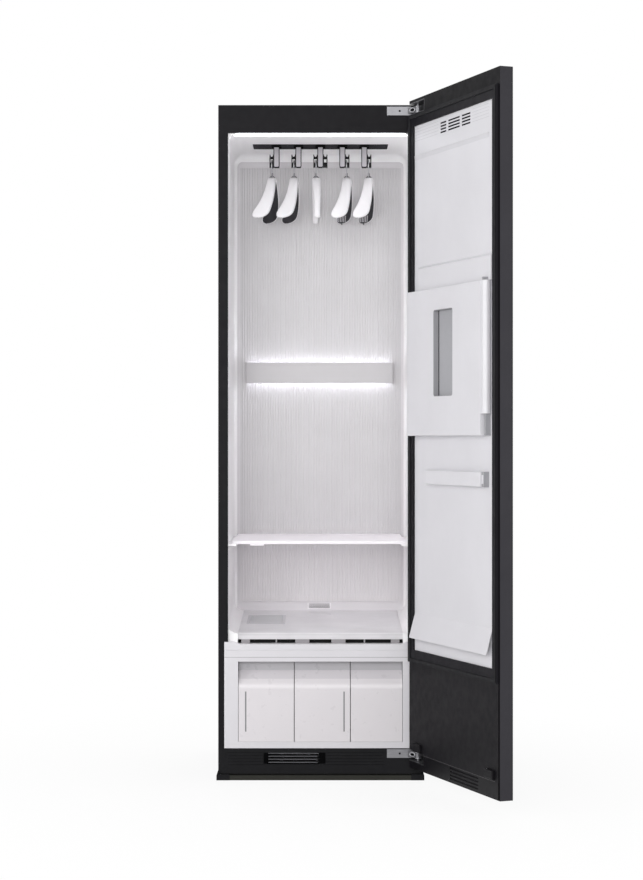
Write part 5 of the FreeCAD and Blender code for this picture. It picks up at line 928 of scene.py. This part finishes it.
def hook_collar(index, seat, body):
    """Ferrule round the shank, on two feet that clip over the hanger's neck."""
    sections = []
    for height, radius in FERRULE:
        middle = Vector((0, -FERRULE_FRONT, height * MM))
        ring = [Vector((math.cos(a), math.sin(a), 0)) for a in circle(14)]
        sections.append([seat @ (middle + radius * MM * spot) for spot in ring])
    points, faces, _ = loft(sections)
    mesh_piece(f"hook_ferrule_{index}", points, faces, (COLLAR,), body)
    feet = []
    for step in range(FEET_STEPS + 1):
        share = 2 * step / FEET_STEPS - 1
        height = FEET_TOP - FEET_DROP * abs(share) ** FEET_CURVE
        feet.append(seat @ Vector((FEET_REACH * share, -FERRULE_FRONT, height)))
    tube(f"hook_feet_{index}", feet, FEET_WIRE, COLLAR, body)


def far_grip(index, style, seat, body):
    """Slanted ribs and a short peg under the far end of a hanger."""
    points = []
    faces = []
    for rib in range(RIB_COUNT):
        across = (RIB_FIRST + RIB_PITCH * rib) * style.end
        rows = []
        for level in RIB_LEVELS:
            for way, side in CORNERS:
                reach = RIB_AT + RIB_REACH * way
                thick = arm_thick(reach, style)
                slant = across + way * RIB_SLANT + side * RIB_HALF
                offset = arm_tilt(reach) @ Vector((slant, 0, thick * level))
                rows.append(seat @ (arm_middle(reach, style) + offset))
        first = len(points)
        points += rows
        faces += [(first, first + 1, first + 2, first + 3), (first + 7, first + 6, first + 5, first + 4)]
        for edge in range(4):
            after = (edge + 1) % 4
            faces.append((first + edge, first + 4 + edge, first + 4 + after, first + after))
    mesh_piece(f"grip_ribs_{index}", points, faces, (RIB_WHITE,), body, False)
    end = arm_middle(PEG_AT, style) + Vector((PEG_SIDE * style.end, 0, 0))
    sections = []
    for height, radius in PEG:
        ring = [Vector((radius * math.cos(a), radius * math.sin(a), height)) for a in circle(10)]
        sections.append([seat @ (end + MM * spot) for spot in ring])
    points, faces, _ = loft(sections)
    mesh_piece(f"grip_peg_{index}", points, faces, (HANGER_DARK,), body)


def hanger(index, style):
    """White shell with a charcoal underside, wire hook and collar at the neck."""
    body = f"hanger_{index}"
    seat = hanger_frame(joint_place(f"hanger_{index}_swing"), style.turn)
    stations = [-math.cos(math.pi * step / STATIONS) for step in range(STATIONS + 1)]
    rings = [[seat @ point for point in hanger_ring(reach, style)] for reach in stations]
    edge_looks = [0] * OUTER_EDGES + [int(style.dark)] * RECESS_EDGES + [0]
    points, faces, marks = loft(rings, edge_looks)
    looks = (HANGER_WHITE, HANGER_DARK)
    shell = mesh_piece(f"hanger_shell_{index}", points, faces, looks, body, True, marks)
    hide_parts(f"hanger_{index}")
    wire = [seat @ point for point in hook_path()]
    tube(f"hanger_hook_{index}", wire, HOOK_WIRE, WIRE, body, roundness=3)
    hook_collar(index, seat, body)
    if style.grip:
        far_grip(index, style, seat, body)


def hangers():
    for index, style in enumerate(HANGERS, start=1):
        hanger(index, style)


# ---------------------------------------------------------------- holders and cradles

HOLDER_WIDTH = 17 * MM
HOLDER_FRONT = 268 * MM
HOLDER_FOOT = 1812 * MM
HOLDER_TOP = 1872 * MM
HOLDER_DEEP = 280 * MM
SLEEVE_OVER = 0.8 * MM  # how far the sleeve is wider than its holder
SLEEVE_UNDER = 0.6 * MM
SLEEVE_ROUND = 4.4 * MM
BAR_INSET = 1.7 * MM
BAR_RAISED = 1.2 * MM
BAR_ROUND = 3 * MM
FACE_THICK = 2 * MM
CHEEK_THICK = 2.4 * MM
CHEEK_HALF = 11 * MM
BRIDGE_HIGH = 12 * MM
BRIDGE_AT = 8 * MM
BRIDGE_THICK = 3 * MM
NOTCH_DEEP = 5 * MM
CRADLE_REACH = 13 * MM
CRADLE_TOP = 1851 * MM
CARRIAGE = "hanger_carriage"
# Holder, counted from the middle one, and the side that the cradle is on.
CRADLES = ((-2, -1), (-1, -1), (0, -1), (0, 1), (1, 1), (2, 1))


def rounded_foot(middle, half, foot, top, radius, steps=5):
    """Outline of an upright bar with rounded lower corners."""
    outline = [(middle - half, top)]
    for side, first in ((-1, 180), (1, 270)):
        for step in range(steps + 1):
            angle = math.radians(first + 90 * step / steps)
            at = middle + side * (half - radius)
            outline.append((at + radius * math.cos(angle), foot + radius + radius * math.sin(angle)))
    outline.append((middle + half, top))
    return outline


def holder_faces():
    """Black sleeve and ribbed grey bar on the front of each holder."""
    half = HOLDER_WIDTH / 2
    for number, index in enumerate(range(-2, 3), start=1):
        middle = index * HOLDER_PITCH
        foot = HOLDER_FOOT - SLEEVE_UNDER
        sleeve = rounded_foot(middle, half + SLEEVE_OVER, foot, HOLDER_TOP, SLEEVE_ROUND)
        back = HOLDER_FRONT - FACE_THICK
        ends = (back, HOLDER_FRONT)
        plate(f"holder_sleeve_{number}", sleeve, *ends, CRADLE_BLACK, CARRIAGE, "cradle_black")
        foot = HOLDER_FOOT + BAR_RAISED
        bar = rounded_foot(middle, half - BAR_INSET, foot, HOLDER_TOP, BAR_ROUND)
        ends = (back - FACE_THICK, back)
        plate(f"holder_bar_{number}", bar, *ends, HOLDER_BAR, CARRIAGE, "holder_grey", 0.8 * MM)


def cradle_parts():
    """Cheek on the holder's side and notched bridge behind each hook."""
    depths = (HOLDER_DEEP - CHEEK_HALF, HOLDER_DEEP + CHEEK_HALF)
    cheek = rectangle(*depths, HOLDER_FOOT, CRADLE_TOP)
    for number, (index, side) in enumerate(CRADLES, start=1):
        face = index * HOLDER_PITCH + side * HOLDER_WIDTH / 2
        ends = sorted((face, face + side * CHEEK_THICK))
        plate(f"cradle_cheek_{number}", cheek, *ends, CRADLE_BLACK, CARRIAGE, "cradle_black", axis="X")
        far = face + side * CRADLE_REACH
        low = CRADLE_TOP - BRIDGE_HIGH
        notch = ((face + far) / 2, CRADLE_TOP - NOTCH_DEEP)
        bridge = [(face, CRADLE_TOP), (face, low), (far, low), (far, CRADLE_TOP), notch]
        depths = (HOLDER_DEEP + BRIDGE_AT, HOLDER_DEEP + BRIDGE_AT + BRIDGE_THICK)
        plate(f"cradle_bridge_{number}", bridge, *depths, CRADLE_BLACK, CARRIAGE, "cradle_black")


# ---------------------------------------------------------------- ceiling light and light bar

LENS_HALF = 233 * MM
LENS_FAR = 267 * MM
LENS_DEPTHS = (14 * MM, 34 * MM)
LENS_HEIGHTS = (1871.3 * MM, 1876 * MM)
BAR_END_THICK = 1.2 * MM


def lens_ends():
    """Ends of the ceiling light's diffuser, out to the chamber's walls."""
    for name, near, far in (("left", -LENS_FAR, -LENS_HALF), ("right", LENS_HALF, LENS_FAR)):
        outline = rectangle(near, far, *LENS_HEIGHTS)
        plate(f"ceiling_lens_{name}", outline, *LENS_DEPTHS, LIGHT, "cabinet", "light_white")


def bar_ends():
    """End caps that close the light bar between its cover and the wall."""
    low, high = node_box("light_bar_cover")
    wall = node_box("back_wall_panel")[0][1]
    outline = rectangle(low[1], wall, low[2], high[2])
    for name, start in (("left", low[0] - BAR_END_THICK), ("right", high[0])):
        ends = (start, start + BAR_END_THICK)
        plate(f"light_bar_end_{name}", outline, *ends, BAR_SATIN, "cabinet", "bar_satin", 0.2 * MM, "X")


# ---------------------------------------------------------------- base louvres, in millimetres

SLAT_HEIGHTS = (50.5, 59.3, 68.0, 76.8)
SLAT_THICK = (-0.2, 1.4)
SLAT_RUN = (-151, -9)
SLAT_DEPTHS = (-0.3, 5)
LOUVRE_ENDS = (("left", -164.5, -150.6), ("right", -4, 14.5))
LOUVRE_END_HEIGHTS = (47.3, 78.6)
LOUVRE_END_DEPTHS = (-0.8, 0.5)


def block(name, run, depths, heights, look):
    """A straight bar on the base, along the front."""
    outline = [(across * MM, up * MM) for across, up in rectangle(*run, *heights)]
    front, back = depths
    plate(name, outline, front * MM, back * MM, look, "cabinet", "base_black", 0.3 * MM)


def louvre_parts():
    """Pale slats above the open louvres, and the black pieces at both ends."""
    for number, height in enumerate(SLAT_HEIGHTS, start=1):
        heights = [height + edge for edge in SLAT_THICK]
        block(f"louvre_slat_{number}", SLAT_RUN, SLAT_DEPTHS, heights, SLAT_GREY)
    for name, *run in LOUVRE_ENDS:
        block(f"louvre_end_{name}", run, LOUVRE_END_DEPTHS, LOUVRE_END_HEIGHTS, SLOT_BLACK)


# ---------------------------------------------------------------- door relief, in millimetres

PANEL_SUNK = 0.2  # how deep a line's or step's foot sits in the panel
STEP_RUN = (47, 539)
STEP_HEIGHTS = (1784, 1797, 1799)
STEP_RISES = (0.8, 1.8)
LINE_ROWS = 5
LINE_LOWEST = 1839.5
LINE_PITCH = 8.6
LINE_HIGH = 0.9
LINE_RISE = 0.25
LINE_RUNS = (("near", (36, 212)), ("far", (434, 537)))
TRIM_LINE = ((40, 572), (1.6, 2.3), (88, 89.1))  # along, rise and height, each from and to
POCKET_FLOOR = ((238, 353.5), (12, 12.4), (1108, 1344))
# Black bar under the grip's edge: painted shadow of the gap behind it.
POCKET_SHADOW = ((233.5, 237.5), (12, 13), (1107.5, 1344.5))


def on_door(along, rise, height):
    """A place on the open door: from its hinge edge, above its inner face, above the floor."""
    run_x = DOOR_PIVOT_INSET - along * MM
    run_y = DOOR_PIVOT_DEPTH + rise * MM
    cos, sin = math.cos(DOOR_OPEN), math.sin(DOOR_OPEN)
    x = DOOR_PIVOT[0] + run_x * cos - run_y * sin
    y = DOOR_PIVOT[1] + run_x * sin + run_y * cos
    return (x, y, height * MM)


def door_bar(name, run, rises, heights, look, body="door", slot="black_trim"):
    """A straight bar on the open door: along it, above its inner face and up."""
    corners = ((0, 0), (1, 0), (1, 1), (0, 1))
    points = [on_door(run[a], rises[b], height) for height in heights for a, b in corners]
    faces = [(0, 1, 2, 3), (7, 6, 5, 4), (0, 4, 5, 1), (1, 5, 6, 2), (2, 6, 7, 3), (3, 7, 4, 0)]
    mesh_piece(name, points, faces, (look,), body, False)


def door_lines():
    """Trim line on the low panel; floor of the press cover's pull pocket, and a black bar under its grip
    edge as painted shadow.
    """
    door_bar("low_panel_line", *TRIM_LINE, LINE_GREY)
    door_bar("pocket_floor", *POCKET_FLOOR, POCKET_GREY, "press_cover", "press_grey")
    # Painted shadow under the grip's edge.
    door_bar("pocket_shadow", *POCKET_SHADOW, SLOT_BLACK, "press_cover", "press_grey")


def panel_face():
    """How far the white inner panel stands above the slab's inner face."""
    above_pivot = inner_face("door_liner") - Vector(DOOR_INNER_WAY).dot(Vector(DOOR_PIVOT))
    return (above_pivot - DOOR_PIVOT_DEPTH) / MM


def panel_relief():
    """Sloped step below the vent, painted a little darker as shade, and fine lines beside the vent's
    slots.
    """
    face = panel_face()
    foot = face - PANEL_SUNK
    low, bend, high = STEP_HEIGHTS
    top_rise, bend_rise = STEP_RISES
    section = ((foot, low), (foot, high), (face + top_rise, high), (face + bend_rise, bend))
    points = [on_door(along, rise, height) for along in STEP_RUN for rise, height in section]
    faces = [(3, 2, 1, 0), (4, 5, 6, 7), (0, 1, 5, 4), (1, 2, 6, 5), (2, 3, 7, 6), (3, 0, 4, 7)]
    mesh_piece("panel_step", points, faces, (STEP_WHITE,), "door", False)
    rises = (foot, face + LINE_RISE)
    for row in range(LINE_ROWS):
        low = LINE_LOWEST + LINE_PITCH * row
        heights = (low, low + LINE_HIGH)
        for side, run in LINE_RUNS:
            name = f"panel_line_{side}_{row + 1}"
            door_bar(name, run, rises, heights, LINE_PALE, "door", "panel_white")


# ---------------------------------------------------------------- hinges, in millimetres

HINGE_HEIGHTS = (("top", 1938.5), ("low", 77.0))
ARM_START = (258, -3)
OVAL_AT = 19  # from the arm's start to the middle of its oval rim
RIM = (11, 5.6, 6.3)  # half its length, half its height, distance from the arm's middle
SLOT = (8, 3.4, 6.1)
RIM_WIRE = 1.3
WASHER_LEVELS = (("under", -8.5), ("over", 8.5))
WASHER = ((8.0, -0.9), (8.9, -0.6), (8.9, 0.6), (8.0, 0.9))  # radius and rise
SCREWS = ((230, SLOT_BLACK), (207, HINGE_STEEL))
SCREW_RADIUS = 2.9
SCREW_DEPTHS = (-3.3, -2)


def arm_oval(half_long, half_high, depth, height):
    """An upright oval beside a hinge's arm, which runs from its start to the door's pivot."""
    start = Vector(ARM_START)
    along = (Vector((DOOR_PIVOT[0] / MM, DOOR_PIVOT[1] / MM)) - start).normalized()
    out = Vector((along.y, -along.x))
    loop = []
    for angle in circle(24):
        spot = start + along * (OVAL_AT + half_long * math.cos(angle)) + out * depth
        loop.append((spot.x * MM, spot.y * MM, (height + half_high * math.sin(angle)) * MM))
    return loop


def washer(name, height):
    """A round washer on the door's pivot."""
    sections = []
    for radius, rise in WASHER:
        level = (height + rise) * MM
        reach = radius * MM
        ring = [(reach * math.cos(a), reach * math.sin(a)) for a in circle(20)]
        sections.append([(DOOR_PIVOT[0] + x, DOOR_PIVOT[1] + y, level) for x, y in ring])
    points, faces, _ = loft(sections)
    mesh_piece(name, points, faces, (PIN_STEEL,), "cabinet")


def screw(name, across, height, look):
    """A flat screw head on the hinge's plate."""
    ring = [(SCREW_RADIUS * math.cos(a), SCREW_RADIUS * math.sin(a)) for a in circle(16)]
    disc = [((across + x) * MM, (height + z) * MM) for x, z in ring]
    start, end = SCREW_DEPTHS
    plate(name, disc, start * MM, end * MM, look, "cabinet", "hinge_steel", 0.2 * MM)


def hinge_parts():
    """Oval rim with its slot painted as a flat black sheet of shade, two washers and two screws on each
    hinge.
    """
    for name, height in HINGE_HEIGHTS:
        rim = arm_oval(*RIM, height)
        tube(f"hinge_rim_{name}", rim, RIM_WIRE * MM, PIN_STEEL, "cabinet", closed=True)
        slot = arm_oval(*SLOT, height)
        faces = [tuple(range(len(slot)))]
        # The slot is a flat black sheet: painted shade.
        mesh_piece(f"hinge_slot_{name}", slot, faces, (SLOT_BLACK,), "cabinet", False)
        for side, level in WASHER_LEVELS:
            washer(f"hinge_washer_{name}_{side}", height + level)
        for number, (across, look) in enumerate(SCREWS, start=1):
            screw(f"hinge_screw_{name}_{number}", across, height, look)


# ---------------------------------------------------------------- build

dress_frame()
world()
floor()
lights()
camera()
hangers()
holder_faces()
cradle_parts()
lens_ends()
bar_ends()
louvre_parts()
door_lines()
panel_relief()
hinge_parts()
scene = bpy.context.scene
scene.view_settings.view_transform = "Standard"
